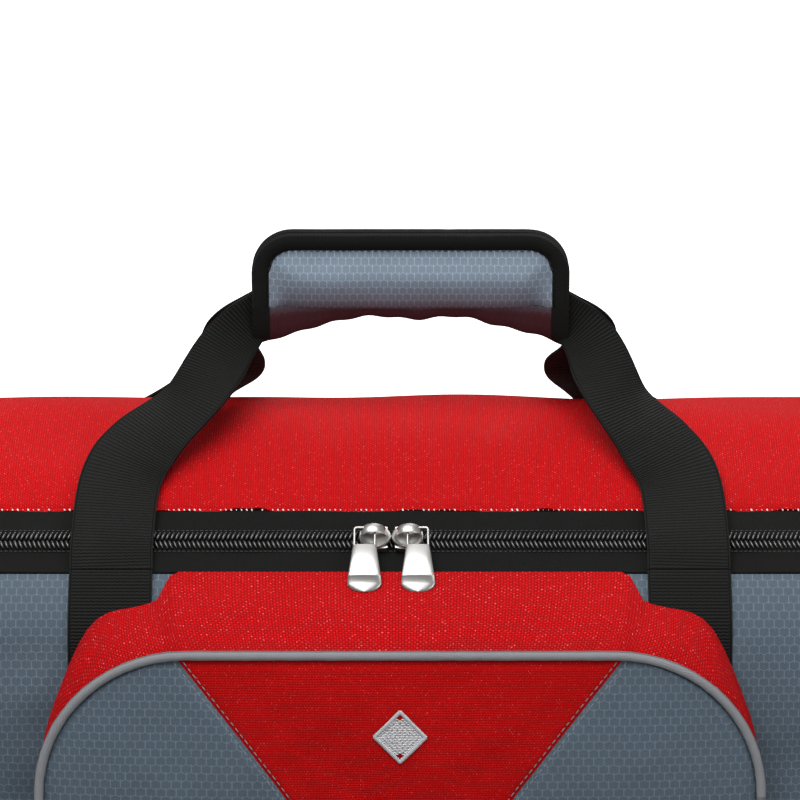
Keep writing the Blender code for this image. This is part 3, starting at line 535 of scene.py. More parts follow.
def twillCloth(name, light, dark, pitch=0.0011):
    made, tree, shader, cloth, place = startMaterial(name, 0.75, 0.02)
    use = useNode(tree, useGroup, Place=place, Strength=0.2)
    lines = useNode(tree, twillGroup, Cloth=cloth, Pitch=pitch)
    # twill crests pale and grooves dark: painted shade in the grooves
    colour = mixColour(tree, lines["Height"], dark, light)
    tree.links.new(scaled(tree, colour, use["Tint"]), shader.inputs["Base Color"])
    tree.links.new(calc(tree, "MULTIPLY_ADD", use["Rub"], -0.08, 0.76), shader.inputs["Roughness"])
    bumpInto(tree, shader, lines["Height"], 0.00022, 0.9)
    return made


def plainFinish(name, colour, roughness, metallic=0.0, grain=0.12, grainScale=900.0, bump=0.00002, shine=0.3):
    made, tree, shader, _, place = startMaterial(name, roughness, 0.0, metallic, shine)
    use = useNode(tree, useGroup, Place=place, Strength=grain)
    tree.links.new(scaled(tree, colour, use["Tint"]), shader.inputs["Base Color"])
    tree.links.new(calc(tree, "MULTIPLY_ADD", use["Rub"], 0.08, roughness), shader.inputs["Roughness"])
    bumpInto(tree, shader, noiseOf(tree, place, grainScale, 3.0), bump, 0.6)
    return made


gripFoot = boxOf("grip_flap")[0].z
redCloth = wovenCloth("redPolyester", (0.56, 0.0030, 0.0050), (0.21, 0.0010, 0.0015), 0.0011, 0.0007,
                     glint=(0.85, 0.10, 0.11))
redGusset = wovenCloth("redPolyesterCoarse", (0.60, 0.0030, 0.0050), (0.13, 0.0006, 0.0010), 0.0013, 0.0009,
                       depth=0.00045, glint=(0.95, 0.16, 0.18))
redFace = wovenCloth("redPolyesterTurned", (0.50, 0.001, 0.0012), (0.19, 0.0004, 0.0005), 0.0007, 0.0011,
                    glint=(0.70, 0.06, 0.07))
slateCloth = ripstopCloth("slateRipstop", (0.085, 0.115, 0.145), (0.045, 0.062, 0.080),
                          (0.16, 0.20, 0.245), 0.0046, 0.0037)
# the grip's lower edge is painted dark maroon: painted shade under the wrap and a painted red reflection from
# the lid below
gripCloth = ripstopCloth("gripRipstop", (0.170, 0.215, 0.268), (0.105, 0.135, 0.172),
                         (0.36, 0.43, 0.50), 0.0036, 0.0034, share=0.5,
                         paintedUnderShade=(gripFoot - 0.0035, gripFoot + 0.0055, (0.042, 0.011, 0.014)))
baseCloth = wovenCloth("coatedBase", (0.030, 0.030, 0.033), (0.012, 0.012, 0.013), 0.0012, 0.0012)
liningCloth = wovenCloth("greyLining", (0.10, 0.105, 0.11), (0.05, 0.053, 0.056), 0.0006, 0.0006)
webCloth = webbingCloth("blackWebbing", (0.0075, 0.0075, 0.0069), (0.0008, 0.0008, 0.0008))
tapeCloth = twillCloth("zipTape", (0.0075, 0.0072, 0.0068), (0.0025, 0.0025, 0.0025), 0.0008)
bindingCloth = twillCloth("twillBinding", (0.0075, 0.0075, 0.0070), (0.0016, 0.0016, 0.0016), 0.0013)
pipingCloth = twillCloth("greyPiping", (0.235, 0.240, 0.255), (0.15, 0.155, 0.165), 0.0009)
coilNylon = plainFinish("coilNylon", (0.010, 0.010, 0.0105), 0.20, shine=0.9)
nickel = plainFinish("satinNickel", (0.42, 0.414, 0.400), 0.36, 1.0, 0.05)
# darker nickel for the pull tip's bevel: painted shade where the bevel turns away from the light
nickelShadedTip = plainFinish("nickelPaintedShade", (0.30, 0.295, 0.285), 0.30, 1.0, 0.05)
threadBlack = plainFinish("blackThread", (0.018, 0.018, 0.02), 0.5, bump=0.00008)
threadRed = plainFinish("redThread", (0.60, 0.02, 0.03), 0.5, bump=0.00008)
threadPale = plainFinish("paleThread", (0.62, 0.60, 0.60), 0.45, bump=0.00008)
threadGrey = plainFinish("greyThread", (0.16, 0.18, 0.20), 0.5, bump=0.00008)
threadSilver = plainFinish("silverThread", (0.40, 0.405, 0.42), 0.36, 0.3, bump=0.00008)
boardPlastic = plainFinish("boardPlastic", (0.035, 0.035, 0.036), 0.55, grainScale=300.0, bump=0.0002)
hookNylon = plainFinish("hookNylon", (0.02, 0.02, 0.022), 0.7, grainScale=1500.0, bump=0.0006)
print("materials built")


# ---- bars along a path: stitches, coil turns, embroidery
def makeBarTree():
    tree = bpy.data.node_groups.new("barsAlongPath", "GeometryNodeTree")
    face = tree.interface
    face.new_socket("Path", in_out="INPUT", socket_type="NodeSocketGeometry")
    for label, kind, value in (("Spacing", "NodeSocketFloat", 0.0036),
                               ("Bar length", "NodeSocketFloat", 0.0028),
                               ("Bar width", "NodeSocketFloat", 0.0005),
                               ("Bar height", "NodeSocketFloat", 0.0004),
                               ("Turn", "NodeSocketFloat", 0.0), ("Seed", "NodeSocketInt", 3),
                               ("Ease", "NodeSocketFloat", 0.08), ("Finish", "NodeSocketMaterial", None)):
        socket = face.new_socket(label, in_out="INPUT", socket_type=kind)
        if value is not None:
            socket.default_value = value
    face.new_socket("Bars", in_out="OUTPUT", socket_type="NodeSocketGeometry")
    new, join = tree.nodes.new, tree.links.new
    given, out = new("NodeGroupInput"), new("NodeGroupOutput")
    curve, even = new("GeometryNodeMeshToCurve"), new("GeometryNodeResampleCurve")
    even.mode = "LENGTH"
    join(given.outputs["Path"], curve.inputs["Mesh"])
    join(curve.outputs["Curve"], even.inputs["Curve"])
    join(given.outputs["Spacing"], even.inputs["Length"])
    tangent, outward = new("GeometryNodeInputTangent"), new("GeometryNodeInputNamedAttribute")
    outward.data_type = "FLOAT_VECTOR"
    outward.inputs["Name"].default_value = "outward"
    alignX, alignZ = new("FunctionNodeAlignRotationToVector"), new("FunctionNodeAlignRotationToVector")
    alignX.axis, alignZ.axis, alignZ.pivot_axis = "X", "Z", "X"
    join(tangent.outputs[0], alignX.inputs["Vector"])
    join(alignX.outputs["Rotation"], alignZ.inputs["Rotation"])
    join([s for s in outward.outputs if s.enabled][0], alignZ.inputs["Vector"])
    spin, turned = new("FunctionNodeAxisAngleToRotation"), new("FunctionNodeRotateRotation")
    turned.rotation_space = "LOCAL"
    spin.inputs["Axis"].default_value = (0, 0, 1)
    join(given.outputs["Turn"], spin.inputs["Angle"])
    join(alignZ.outputs["Rotation"], turned.inputs["Rotation"])
    join(spin.outputs["Rotation"], turned.inputs["Rotate By"])
    ball = new("GeometryNodeMeshUVSphere")
    ball.inputs["Segments"].default_value = 8
    ball.inputs["Rings"].default_value = 6
    ball.inputs["Radius"].default_value = 0.5
    size, shaped = new("ShaderNodeCombineXYZ"), new("GeometryNodeTransform")
    for socket, label in zip(size.inputs, ("Bar length", "Bar width", "Bar height")):
        join(given.outputs[label], socket)
    join(ball.outputs["Mesh"], shaped.inputs["Geometry"])
    join(size.outputs[0], shaped.inputs["Scale"])
    vary = new("FunctionNodeRandomValue")
    vary.data_type = "FLOAT"
    lowSocket, highSocket = [s for s in vary.inputs if s.enabled and s.name in ("Min", "Max")]
    lower, upper = new("ShaderNodeMath"), new("ShaderNodeMath")
    lower.operation, upper.operation = "SUBTRACT", "ADD"
    for node, socket in ((lower, lowSocket), (upper, highSocket)):
        node.inputs[0].default_value = 1.0
        join(given.outputs["Ease"], node.inputs[1])
        join(node.outputs[0], socket)
    join(given.outputs["Seed"], vary.inputs["Seed"])
    place = new("GeometryNodeInstanceOnPoints")
    join(even.outputs["Curve"], place.inputs["Points"])
    join(shaped.outputs["Geometry"], place.inputs["Instance"])
    join(turned.outputs["Rotation"], place.inputs["Rotation"])
    join([s for s in vary.outputs if s.enabled][0], place.inputs["Scale"])
    real, soft = new("GeometryNodeRealizeInstances"), new("GeometryNodeSetShadeSmooth")
    paint = new("GeometryNodeSetMaterial")
    join(place.outputs["Instances"], real.inputs["Geometry"])
    join(real.outputs["Geometry"], soft.inputs["Geometry"])
    join(soft.outputs["Geometry"], paint.inputs["Geometry"])
    join(given.outputs["Finish"], paint.inputs["Material"])
    join(paint.outputs["Geometry"], out.inputs["Bars"])
    return tree


barTree = makeBarTree()


def barPiece(name, paths, finish, body, spacing=0.0036, length=0.0028, width=0.0005, height=0.0004,
             turn=0.0, seed=3, stands=(), ease=0.08):
    # paths is a list of (points, outward directions); each becomes one run of bars
    points, edges, outs = [], [], []
    for path, outward in paths:
        start = len(points)
        points += [tuple(p) for p in path]
        outs += [tuple(o) for o in outward]
        edges += [(start + i, start + i + 1) for i in range(len(path) - 1)]
    mesh = bpy.data.meshes.new(name + "Path")
    mesh.from_pydata(points, edges, [])
    layer = mesh.attributes.new("outward", "FLOAT_VECTOR", "POINT")
    layer.data.foreach_set("vector", np.asarray(outs, float).ravel())
    guide = placed(name + "Path", mesh)
    maker = guide.modifiers.new("bars", "NODES")
    maker.node_group = barTree
    values = {"Spacing": spacing, "Bar length": length, "Bar width": width, "Bar height": height,
              "Turn": turn, "Seed": seed, "Ease": ease, "Finish": finish}
    for item in barTree.interface.items_tree:
        if item.item_type == "SOCKET" and item.in_out == "INPUT" and item.name in values:
            maker[item.identifier] = values[item.name]
    ready = guide.evaluated_get(bpy.context.evaluated_depsgraph_get())
    made = bpy.data.meshes.new_from_object(ready)
    guide.modifiers.clear()
    bpy.data.objects.remove(guide, do_unlink=True)
    made.name = name
    return dress(placed(name, made), body, [] if made.materials else finish, stands)


def bagPath(xs, ss, lift):
    # a seam line on the bag with the directions that its bars face
    xs, ss = np.broadcast_arrays(np.asarray(xs, float), np.asarray(ss, float))
    _, _, ny, nz = sectionOf(ss)
    return bagPoint(xs, ss, lift), np.stack([np.zeros_like(ny), ny, nz], -1)


# ---- the wrap: panels cut from the same surface
panelLook = {"thickness": 0.0016, "edgeDrop": 0.0007, "edgeWidth": 0.004}


def zipEdge(offset):
    radius = bagShape["zipCorner"] + offset
    turnS = coilS - bagShape["zipCorner"]

    def edge(s):
        rise = np.clip(s - turnS, 0, radius)
        return zipHalf - bagShape["zipCorner"] + np.sqrt(np.maximum(radius ** 2 - rise ** 2, 0))
    return edge


def cornerRows(start, offset, step):
    radius = bagShape["zipCorner"] + offset
    turnS = coilS - bagShape["zipCorner"]
    angles = np.linspace(0, math.pi / 2, 22)[1:]
    return np.concatenate([span(start, turnS, step), turnS + radius * np.sin(angles)])


def wrapPanel(name, rows, lowX, highX, finishes, body, stands, columns, puckers=(), wave=0.0):
    # lowX and highX give the panel's two side edges; wave moves its front edge to and fro
    t = np.linspace(0, 1, columns + 1)
    lows, highs = lowX(rows), highX(rows)
    xs = lows[:, None] + (highs - lows)[:, None] * t[None, :]
    ss = np.repeat(rows[:, None], columns + 1, 1)
    wander = waves(xs, xs * 0, 91, 0.034, 5) + 0.3 * waves(xs, xs * 0, 92, 0.008, 4)
    ss = ss + wave * smooth((ss - crownRun + 0.020) / 0.020) * wander
    nearX = np.minimum(xs - lows[:, None], highs[:, None] - xs)
    nearS = np.minimum(ss - rows.min(), rows.max() - ss)
    near = np.minimum(np.abs(nearX), np.abs(nearS))
    lift = -panelLook["edgeDrop"] * (1 - smooth(near / panelLook["edgeWidth"]))
    for seamAt, size, reach in puckers:
        away = np.abs(ss - seamAt)
        lift = lift + size * np.exp(-away / reach) * waves(xs, ss * 0.15, int(seamAt * 1000) % 97 + 3,
                                                           0.013, 5)
    outer = bagPoint(xs, ss, lift)
    inner = bagPoint(xs, ss, lift * 0.5 - panelLook["thickness"])
    uv = np.stack([xs, ss], -1)
    return dress(sheetPiece(name, outer, inner, uv), body, finishes, stands)


def buildWrap():
    flat = lambda value: (lambda rows: np.full(np.shape(rows), value))
    rows = cornerRows(-seamS, -bagShape["tapeWidth"] - gap, 0.004)
    edge = zipEdge(-bagShape["tapeWidth"] - gap)
    wrapPanel("lidCloth", rows, lambda s: -edge(s), edge, [redCloth, liningCloth], "lid", ["lid_panel"],
              columns=190, puckers=[(crownRun, 0.00055, 0.010), (-seamS, 0.0004, 0.008)], wave=0.0011)
    edge = zipEdge(bagShape["tapeWidth"] + gap)
    rows = np.minimum(cornerRows(-seamS, bagShape["tapeWidth"] + gap, 0.004), seamS - gap)
    wrapPanel("topEndRight", rows, edge, flat(halfWrap), [redCloth, liningCloth], "bag", ["top_end_right"],
              columns=14)
    wrapPanel("topEndLeft", rows, flat(-halfWrap), lambda s: -edge(s), [redCloth, liningCloth], "bag",
              ["top_end_left"], columns=14)
    wall = np.concatenate([span(seamS + gap, shoulderS, 0.004)[:-1], span(shoulderS, wallS - gap, 0.006)])
    for name, sign, node in (("frontBody", 1, "front_panel"), ("backBody", -1, "back_panel")):
        rows = np.sort(sign * wall)
        wrapPanel(name, rows, flat(-halfWrap), flat(halfWrap), [slateCloth, liningCloth], "bag", [node],
                  columns=120, puckers=[(sign * wallS, 0.0008, 0.014)])
    middleS = cornerS + halfDepth - bagShape["bottomRadius"] - 0.0005
    down = np.concatenate([span(wallS, cornerS, 0.004), span(cornerS, middleS, 0.012)[1:]])
    ss = np.concatenate([down, -down[::-1]])
    xs = np.linspace(-halfWrap, halfWrap, 61)
    grid = np.meshgrid(xs, ss)
    y, z, ny, nz = sectionOf(grid[1])
    place = lambda lift: np.stack([grid[0], y + lift * ny, z + lift * nz], -1)
    uv = np.stack([grid[0], np.repeat(np.arange(len(ss))[:, None] * 0.006, 61, 1)], -1)
    dress(sheetPiece("baseCloth", place(0.0), place(-0.002), uv), "bag", [baseCloth, liningCloth],
          ["bottom_panel"])


def zipPath(step=0.004):
    turnS = coilS - bagShape["zipCorner"]
    rows = span(-seamS, turnS, step)[:-1]
    half = [(zipHalf, s, 1.0, 0.0) for s in rows]
    for a in np.linspace(0, math.pi / 2, 20):
        half.append((zipHalf - bagShape["zipCorner"] * (1 - math.cos(a)),
                     turnS + bagShape["zipCorner"] * math.sin(a), math.cos(a), math.sin(a)))
    front = [(x, coilS, 0.0, 1.0) for x in span(half[-1][0], 0, step)[1:]]
    right = half + front
    left = [(-x, s, -nx, ns) for x, s, nx, ns in right[:-1]]
    return np.array(left + right[::-1])


def zipBand(offsets):
    # xs, ss and band uv for a strip with these offsets from the coil line
    path = zipPath()
    xs = path[:, 0, None] + path[:, 2, None] * offsets[None]
    ss = path[:, 1, None] + path[:, 3, None] * offsets[None]
    steps = np.hypot(np.diff(path[:, 0]), np.diff(path[:, 1]))
    along = np.concatenate([[0], np.cumsum(steps)])
    uv = np.stack([np.repeat(offsets[None], len(path), 0), np.repeat(along[:, None], len(offsets), 1)], -1)
    return xs, ss, uv


zipLook = {"pitch": 0.00215, "toothLength": 0.0052, "toothWidth": 0.00155, "toothHeight": 0.0021,
           "slant": 0.42, "tuck": 0.0019}


def buildZip():
    width = bagShape["tapeWidth"]
    tucked = np.array([width + 0.0022, width + 0.0008, width - 0.0004])
    offsets = np.concatenate([tucked, np.linspace(width - 0.002, gap / 2, 6)])
    dip = np.where(offsets > width, zipLook["tuck"], 0.0)
    for name, sign, body, node in (("lidTape", -1, "lid", "zip_tape_lid"),
                                   ("bodyTape", 1, "bag", "zip_tape_body")):
        order = slice(None, None, -sign)
        xs, ss, uv = zipBand(sign * offsets[order])
        sag = 0.00035 * waves(xs, ss, 21, 0.05) - dip[order]
        strip = sheetPiece(name, bagPoint(xs, ss, sag), bagPoint(xs, ss, sag - 0.0010), uv)
        dress(strip, body, tapeCloth, [node])
    path = zipPath()
    for name, sign, body, node in (("lidCoil", -1, "lid", "zip_chain_lid"),
                                   ("bodyCoil", 1, "bag", "zip_chain_body")):
        xs = path[:, 0] + path[:, 2] * sign * 0.0023
        ss = path[:, 1] + path[:, 3] * sign * 0.0023
        line = bagPath(xs, ss, 0.0010)
        turn = math.pi / 2 + sign * zipLook["slant"]
        barPiece(name, [line], coilNylon, body, zipLook["pitch"], zipLook["toothLength"],
                 zipLook["toothWidth"], zipLook["toothHeight"], turn, 5, [node])
        offset = sign * 0.0056
        rail = bagPath(path[:, 0] + path[:, 2] * offset, path[:, 1] + path[:, 3] * offset, 0.0004)
        barPiece(name + "Stitch", [rail], threadBlack, body, 0.0022, 0.0019, 0.0006, 0.0005)


def buildHinge():
    # a strip of lining sewn across the lid's hinge, under the cloth
    half, reach = zipHalf - bagShape["tapeWidth"], 0.012
    xs, ss = np.meshgrid(np.linspace(-half, half, 80), -seamS + np.linspace(-reach, reach, 13))
    strip = sheetPiece("hingeFacing", bagPoint(xs, ss, -0.0022), bagPoint(xs, ss, -0.0030),
                       np.stack([xs, ss], -1))
    strip.data.materials.append(liningCloth)
    bagPoint(0, -seamS - 0.003)
    bagPoint(0, -seamS + 0.003)
    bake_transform(strip)


def buildSeams():
    # topstitching, one mesh for each body and thread
    path = zipPath()
    inset = bagShape["tapeWidth"] + 0.0003
    specks = bagPath(path[:, 0] - path[:, 2] * inset, path[:, 1] - path[:, 3] * inset, 0.0001)
    barPiece("lidNeedleMarks", [specks], threadPale, "lid", 0.0024, 0.0005, 0.0008, 0.0004, 0.5, 11,
             ease=0.9)
    red = []
    for sign in (-1, 1):
        rows = span(-seamS + 0.004, seamS - 0.004, 0.004)
        red.append(bagPath(np.full_like(rows, sign * (halfWrap - 0.004)), rows, 0.0002))
    barPiece("endTopstitch", red, threadRed, "bag", 0.0034, 0.0026)
    grey = []
    xs = span(-halfWrap + 0.005, halfWrap - 0.005, 0.004)
    for s in (-seamS - 0.003, wallS - 0.004, -wallS + 0.004):
        grey.append(bagPath(xs, np.full_like(xs, s), 0.0002))
    for sign in (-1, 1):
        rows = span(seamS + 0.004, wallS - 0.004, 0.004)
        for face in (-1, 1):
            grey.append(bagPath(np.full_like(rows, sign * (halfWrap - 0.004)), face * rows, 0.0002))
    barPiece("bodyTopstitch", grey, threadGrey, "bag", 0.0038, 0.0028)


# ---- ends
def endOutline(inset, step=0.006):
    ss = span(-cornerS, cornerS, step)
    y, z, ny, nz = sectionOf(ss)
    bottom = span(float(y[-1]), float(y[0]), 0.02)[1:-1]
    points = np.stack([y - inset * ny, z - inset * nz], -1)
    base = np.stack([bottom, np.full_like(bottom, inset)], -1)
    return np.concatenate([points, base])


def buildEnds():
    radius = 0.0022
    for side, sign in sides.items():
        outline = endOutline(radius + gap)
        flatX = np.full(len(outline), sign * (halfLength - radius))
        path = np.concatenate([flatX[:, None], outline], 1)
        cord = tubePiece("endPiping" + side.title(), path, radius, (1.0, 0, 0))
        dress(cord, "bag", pipingCloth, ["end_piping_" + side])
        outline = endOutline(2 * radius + 2 * gap)
        middle = np.array([0.0, crest * 0.46])
        shares = 1 - np.linspace(0, 1, 16)[:-1] ** 1.5
        rings = middle + (outline - middle)[None] * shares[:, None, None]
        rings = np.concatenate([rings, (middle + (outline - middle) * 0.004)[None]])
        shares = np.append(shares, 0.0)
        dome = 0.0055 * (1 - shares ** 2)[:, None]
        dome = dome + 0.0012 * smooth((1 - shares) * 5)[:, None] * waves(rings[..., 0], rings[..., 1], 31,
                                                                         0.07)
        outer = np.stack([sign * (halfLength - 0.0016 + dome), rings[..., 0], rings[..., 1]], -1)
        inner = outer.copy()
        inner[..., 0] -= sign * 0.002
        uv = np.stack([rings[..., 0], rings[..., 1]], -1)
        piece = sheetPiece("end" + side.title(), outer.transpose(1, 0, 2), inner.transpose(1, 0, 2),
                           uv.transpose(1, 0, 2), closed=True)
        dress(piece, "bag", [slateCloth, liningCloth], ["end_panel_" + side])


# ---- front pocket
pocket = {"cornerTop": 0.067, "cornerBottom": 0.030, "seamRadius": 0.0022, "faceBulge": 0.0075,
          "chevronTop": 0.1015, "chevronSlope": 0.79, "chevronFoot": 0.036, "lift": 0.0025}
pipingLow, pipingHigh = boxOf("pocket_piping")
pocketHalf = pipingHigh.x - pocket["seamRadius"]
pocketTop = pipingHigh.z - pocket["seamRadius"]
pocketBottom = pipingLow.z + pocket["seamRadius"]
pocketFront = -(pipingLow.y + pocket["seamRadius"])
pocketZipLow, pocketZipTop = (corner.z for corner in boxOf("pocket_zip_tape"))
pocketZipMid = (pocketZipTop + pocketZipLow) / 2


def roundOutline(half, top, bottom, cornerTop, cornerBottom):
    points = []
    corners = [(1, top, cornerTop, 0), (-1, top, cornerTop, 1),
               (-1, bottom, cornerBottom, 2), (1, bottom, cornerBottom, 3)]
    edges = (50, 26, 50, 26)
    ends = []
    for sign, z, (cx, cz), quarter in corners:
        up = 1 if quarter < 2 else -1
        arc = [(sign * (half - cx) + cx * math.cos(a), z - up * cz + cz * math.sin(a))
               for a in math.pi / 2 * (quarter + np.linspace(0, 1, 16))]
        ends.append(arc)
    for i, arc in enumerate(ends):
        points += arc
        start, stop = np.array(arc[-1]), np.array(ends[(i + 1) % 4][0])
        points += [tuple(start + (stop - start) * k / edges[i]) for k in range(1, edges[i])]
    return np.array(points)


def pocketSeam(inset=0.0):
    top, low = pocket["cornerTop"] - inset, pocket["cornerBottom"] - inset
    return roundOutline(pocketHalf - inset, pocketTop - inset, pocketBottom + inset, (top, top), (low, low))


def bodySeam():
    # where the pocket meets the body, as (x, s)
    lowS = wallS - (pocketBottom - bagShape["bottomRadius"]) - 0.004
    line = roundOutline(pocketHalf - 0.004, -seamS - 0.0006, -lowS, (0.055, 0.095), (0.036, 0.036))
    # the cloth drops steeply beside the webbing before it turns outwards
    reach = np.abs(line[:, 0])
    dip = smooth((reach - 0.103) / 0.008) * (1 - smooth((reach - 0.116) / 0.030))
    dip = dip * (line[:, 1] > -shoulderS - 0.06)
    line[:, 1] -= 0.013 * dip
    return line * np.array([1, -1])


def faceHalf(z):
    radius = pocket["cornerTop"] - pocket["seamRadius"]
    rise = np.clip(z - (pocketTop - pocket["cornerTop"]), 0, radius)
    return pocketHalf - pocket["cornerTop"] + np.sqrt(np.maximum(radius ** 2 - rise ** 2, 0))


def faceHalfLow(z):
    radius = pocket["cornerBottom"] - pocket["seamRadius"]
    drop = np.clip(pocketBottom + pocket["cornerBottom"] - z, 0, radius)
    return pocketHalf - pocket["cornerBottom"] + np.sqrt(np.maximum(radius ** 2 - drop ** 2, 0))


def chevron(z):
    straight = pocket["chevronTop"] - pocket["chevronSlope"] * (pocketTop - z)
    foot = pocket["chevronFoot"]
    return (straight + np.sqrt((straight - foot) ** 2 + 0.012 ** 2) + foot) / 2


def faceY(x, z, lift=0.0):
    # the filled pocket's front: full above the zip, flat along it
    up = np.clip((z - pocketZipTop) / (pocketTop - pocketZipTop), 0, 1)
    side = np.clip(1 - (np.abs(x) / np.maximum(faceHalf(z), 1e-4)) ** 2, 0, 1)
    bulge = pocket["faceBulge"] * np.sin(math.pi * up ** 0.8) ** 0.8 * side ** 0.6
    uneven = 0.0010 * waves(x, z, 41, 0.06) + 0.0004 * waves(x, z, 43, 0.018)
    bulge = bulge + smooth(up * 6) * smooth((1 - up) * 6) * side * uneven
    return -(pocketFront + bulge + lift)


def facePanel(name, zs, low, high, columns, finishes, node, dip=0.0012):
    t = np.linspace(0, 1, columns + 1)
    lows, highs = low(zs), np.maximum(high(zs), low(zs) + 0.0006)
    xs = lows[:, None] + (highs - lows)[:, None] * t
    z = np.repeat(zs[:, None], columns + 1, 1)
    near = np.minimum(xs - lows[:, None], highs[:, None] - xs)
    near = np.minimum(near, np.minimum(z - zs.min(), zs.max() - z))
    lift = -dip * (1 - smooth(near / 0.0035))
    place = lambda extra: np.stack([xs, faceY(xs, z, lift + extra), z], -1)
    panel = sheetPiece(name, place(0), place(-panelLook["thickness"]), np.stack([xs, z], -1))
    return dress(panel, "bag", finishes, [node])


def buildPocket():
    seam, line = pocketSeam(), bodySeam()
    radius = pocket["seamRadius"]
    front = np.stack([seam[:, 0], np.full(len(seam), -(pocketFront - radius * 0.4)), seam[:, 1]], -1)
    back = bagPoint(line[:, 0], line[:, 1], pocket["lift"] * 0.75)
    count = 11
    t = np.linspace(0, 1, count)
    rows = back[:, None] * (1 - t)[None, :, None] + front[:, None] * t[None, :, None]
    centre = np.array([0.0, 0.0, (pocketTop + pocketBottom) / 2])
    side = rows - centre
    side[..., 1] = 0
    side /= np.linalg.norm(side, axis=-1)[..., None]
    outward = side * 0.75 + np.array([0, -0.5, 0])
    outward /= np.linalg.norm(outward, axis=-1)[..., None]
    along = runLength(front)
    puff = 0.0028 * np.sin(math.pi * t)[None] ** 0.7
    ripple = np.sin(math.pi * t)[None] * 0.0006 * waves(along[:, None] + t[None] * 0, t[None] * 0.03, 51,
                                                        0.03)
    pinch = 0.0004 * np.exp(-(1 - t)[None] * 6) * waves(along[:, None], t[None] * 0.01, 53, 0.012)
    outer = rows + outward * (puff + ripple + pinch)[..., None]
    inner = outer - outward * panelLook["thickness"]
    depth = np.linalg.norm(front - back, axis=1)[:, None] * t[None]
    uv = np.stack([np.repeat(along[:, None], count, 1), depth], -1)
    dress(sheetPiece("pocketGusset", outer, inner, uv, closed=True), "bag", [redGusset, liningCloth],
          ["pocket_gusset"])
    path = np.stack([seam[:, 0], np.full(len(seam), -pocketFront), seam[:, 1]], -1)
    bead = radius * (1 + 0.04 * waves(along, along * 0, 55, 0.012))
    dress(tubePiece("pocketPiping", path, bead, (0, 1.0, 0)), "bag", pipingCloth, ["pocket_piping"])
    rimBand = 0.012
    zs = np.concatenate([span(pocketZipTop + gap, pocketTop - rimBand, 0.0035),
                         pocketTop - rimBand + span(0, rimBand - radius - gap, 0.0012)[1:]])
    facePanel("pocketMiddle", zs, lambda z: -chevron(z), chevron, 60, [redFace, liningCloth],
              "pocket_face_centre")
    facePanel("pocketSideRight", zs, chevron, faceHalf, 34, [slateCloth, liningCloth], "pocket_face_right")
    facePanel("pocketSideLeft", zs, lambda z: -faceHalf(z), lambda z: -chevron(z), 34,
              [slateCloth, liningCloth], "pocket_face_left")
    zs = span(pocketBottom + radius + gap, pocketZipLow - gap, 0.0035)
    facePanel("pocketLow", zs, lambda z: -faceHalfLow(z), faceHalfLow, 90, [slateCloth, liningCloth],
              "pocket_face_lower")
    zs = np.array([pocketZipLow, pocketZipLow + 0.006, pocketZipMid, pocketZipTop - 0.006, pocketZipTop])
    side = lambda z: np.full(np.shape(z), boxOf("pocket_zip_tape")[1].x)
    facePanel("pocketTape", zs, lambda z: -side(z), side, 80, tapeCloth, "pocket_zip_tape",
              dip=0.0)
    zipReach = boxOf("pocket_zip_chain")[1].x
    xs = span(-zipReach, zipReach, 0.004)
    outwardFront = facing((0, -1, 0), len(xs))

    def level(z, lift):
        flat = np.full_like(xs, -(pocketFront + lift))
        return np.stack([xs, flat, np.full_like(xs, z)], -1), outwardFront

    coils = [level(pocketZipMid + side * 0.0016, 0.0006) for side in (1, -1)]
    barPiece("pocketCoil", coils, coilNylon, "bag", zipLook["pitch"], 0.0036, 0.0015, 0.0020,
             math.pi / 2 + 0.3, 7, ["pocket_zip_chain"])
    lines = []
    for sign in (-1, 1):
        z = span(pocketZipTop + 0.002, pocketTop - 0.004, 0.004)
        for shift in (-0.0022, 0.0022):
            x = sign * (chevron(z) + shift)
            lines.append((np.stack([x, faceY(x, z, -0.0002), z], -1), facing((0, -1, 0), len(z))))
    lines += [level(pocketZipTop + 0.0022, 0.0001), level(pocketZipLow - 0.0022, 0.0001)]
    barPiece("pocketTopstitch", lines, threadGrey, "bag", 0.0034, 0.0026)


emblem = {"rows": 26, "lift": 0.0006, "fill": 0.86, "shortest": 0.0012}


def buildEmblem():
    # a plain diamond in satin stitch with a corded edge
    low, high = boxOf("emblem")
    middle = (low + high) / 2
    half = (high.x - low.x) / 2
    front = lambda x, z, lift: np.stack([x, faceY(x, z, lift), z], -1)
    runs = []
    for i in range(emblem["rows"]):
        t = -1 + 2 * (i + 0.5) / emblem["rows"]
        reach = half * emblem["fill"] * (1 - abs(t))
        if reach < emblem["shortest"]:
            continue
        z = np.full(3, middle.z + t * half * emblem["fill"])
        x = np.linspace(-reach, reach, 3) + middle.x
        runs.append((front(x, z, emblem["lift"] * 0.5), facing((0, -1, 0), len(x))))
    barPiece("emblemFill", runs, threadSilver, "bag", 0.0021, 0.0030, 0.00078, 0.0007, 0.0, 9, ["emblem"])
    corners = [(half, 0), (0, half), (-half, 0), (0, -half), (half, 0)]
    rim = []
    for (x0, z0), (x1, z1) in zip(corners, corners[1:]):
        x = middle.x + np.linspace(x0, x1, 8)
        z = middle.z + np.linspace(z0, z1, 8)
        rim.append((front(x, z, emblem["lift"]), facing((0, -1, 0), len(x))))
    barPiece("emblemRim", rim, threadSilver, "bag", 0.0006, 0.0021, 0.0008, 0.0010, math.pi / 2, 10)


# ---- handles
handle = {"width": 0.038, "bundle": 0.022, "thick": 0.0016, "spacing": 0.264, "gripOffset": -0.005,
          "lean": 0.005, "leanHeight": 0.030, "overhang": 0.004}
gripLow = boxOf("grip_binding_back")[0].z
gripHigh = boxOf("grip_binding_back")[1].z
gripHalf = boxOf("grip_binding_back")[1].x - handle["lean"]
gripSheet = 0.0035
gripArch = 0.015


def gripBottom(x):
    return gripLow + gripArch * (1 - (x / gripHalf) ** 2)


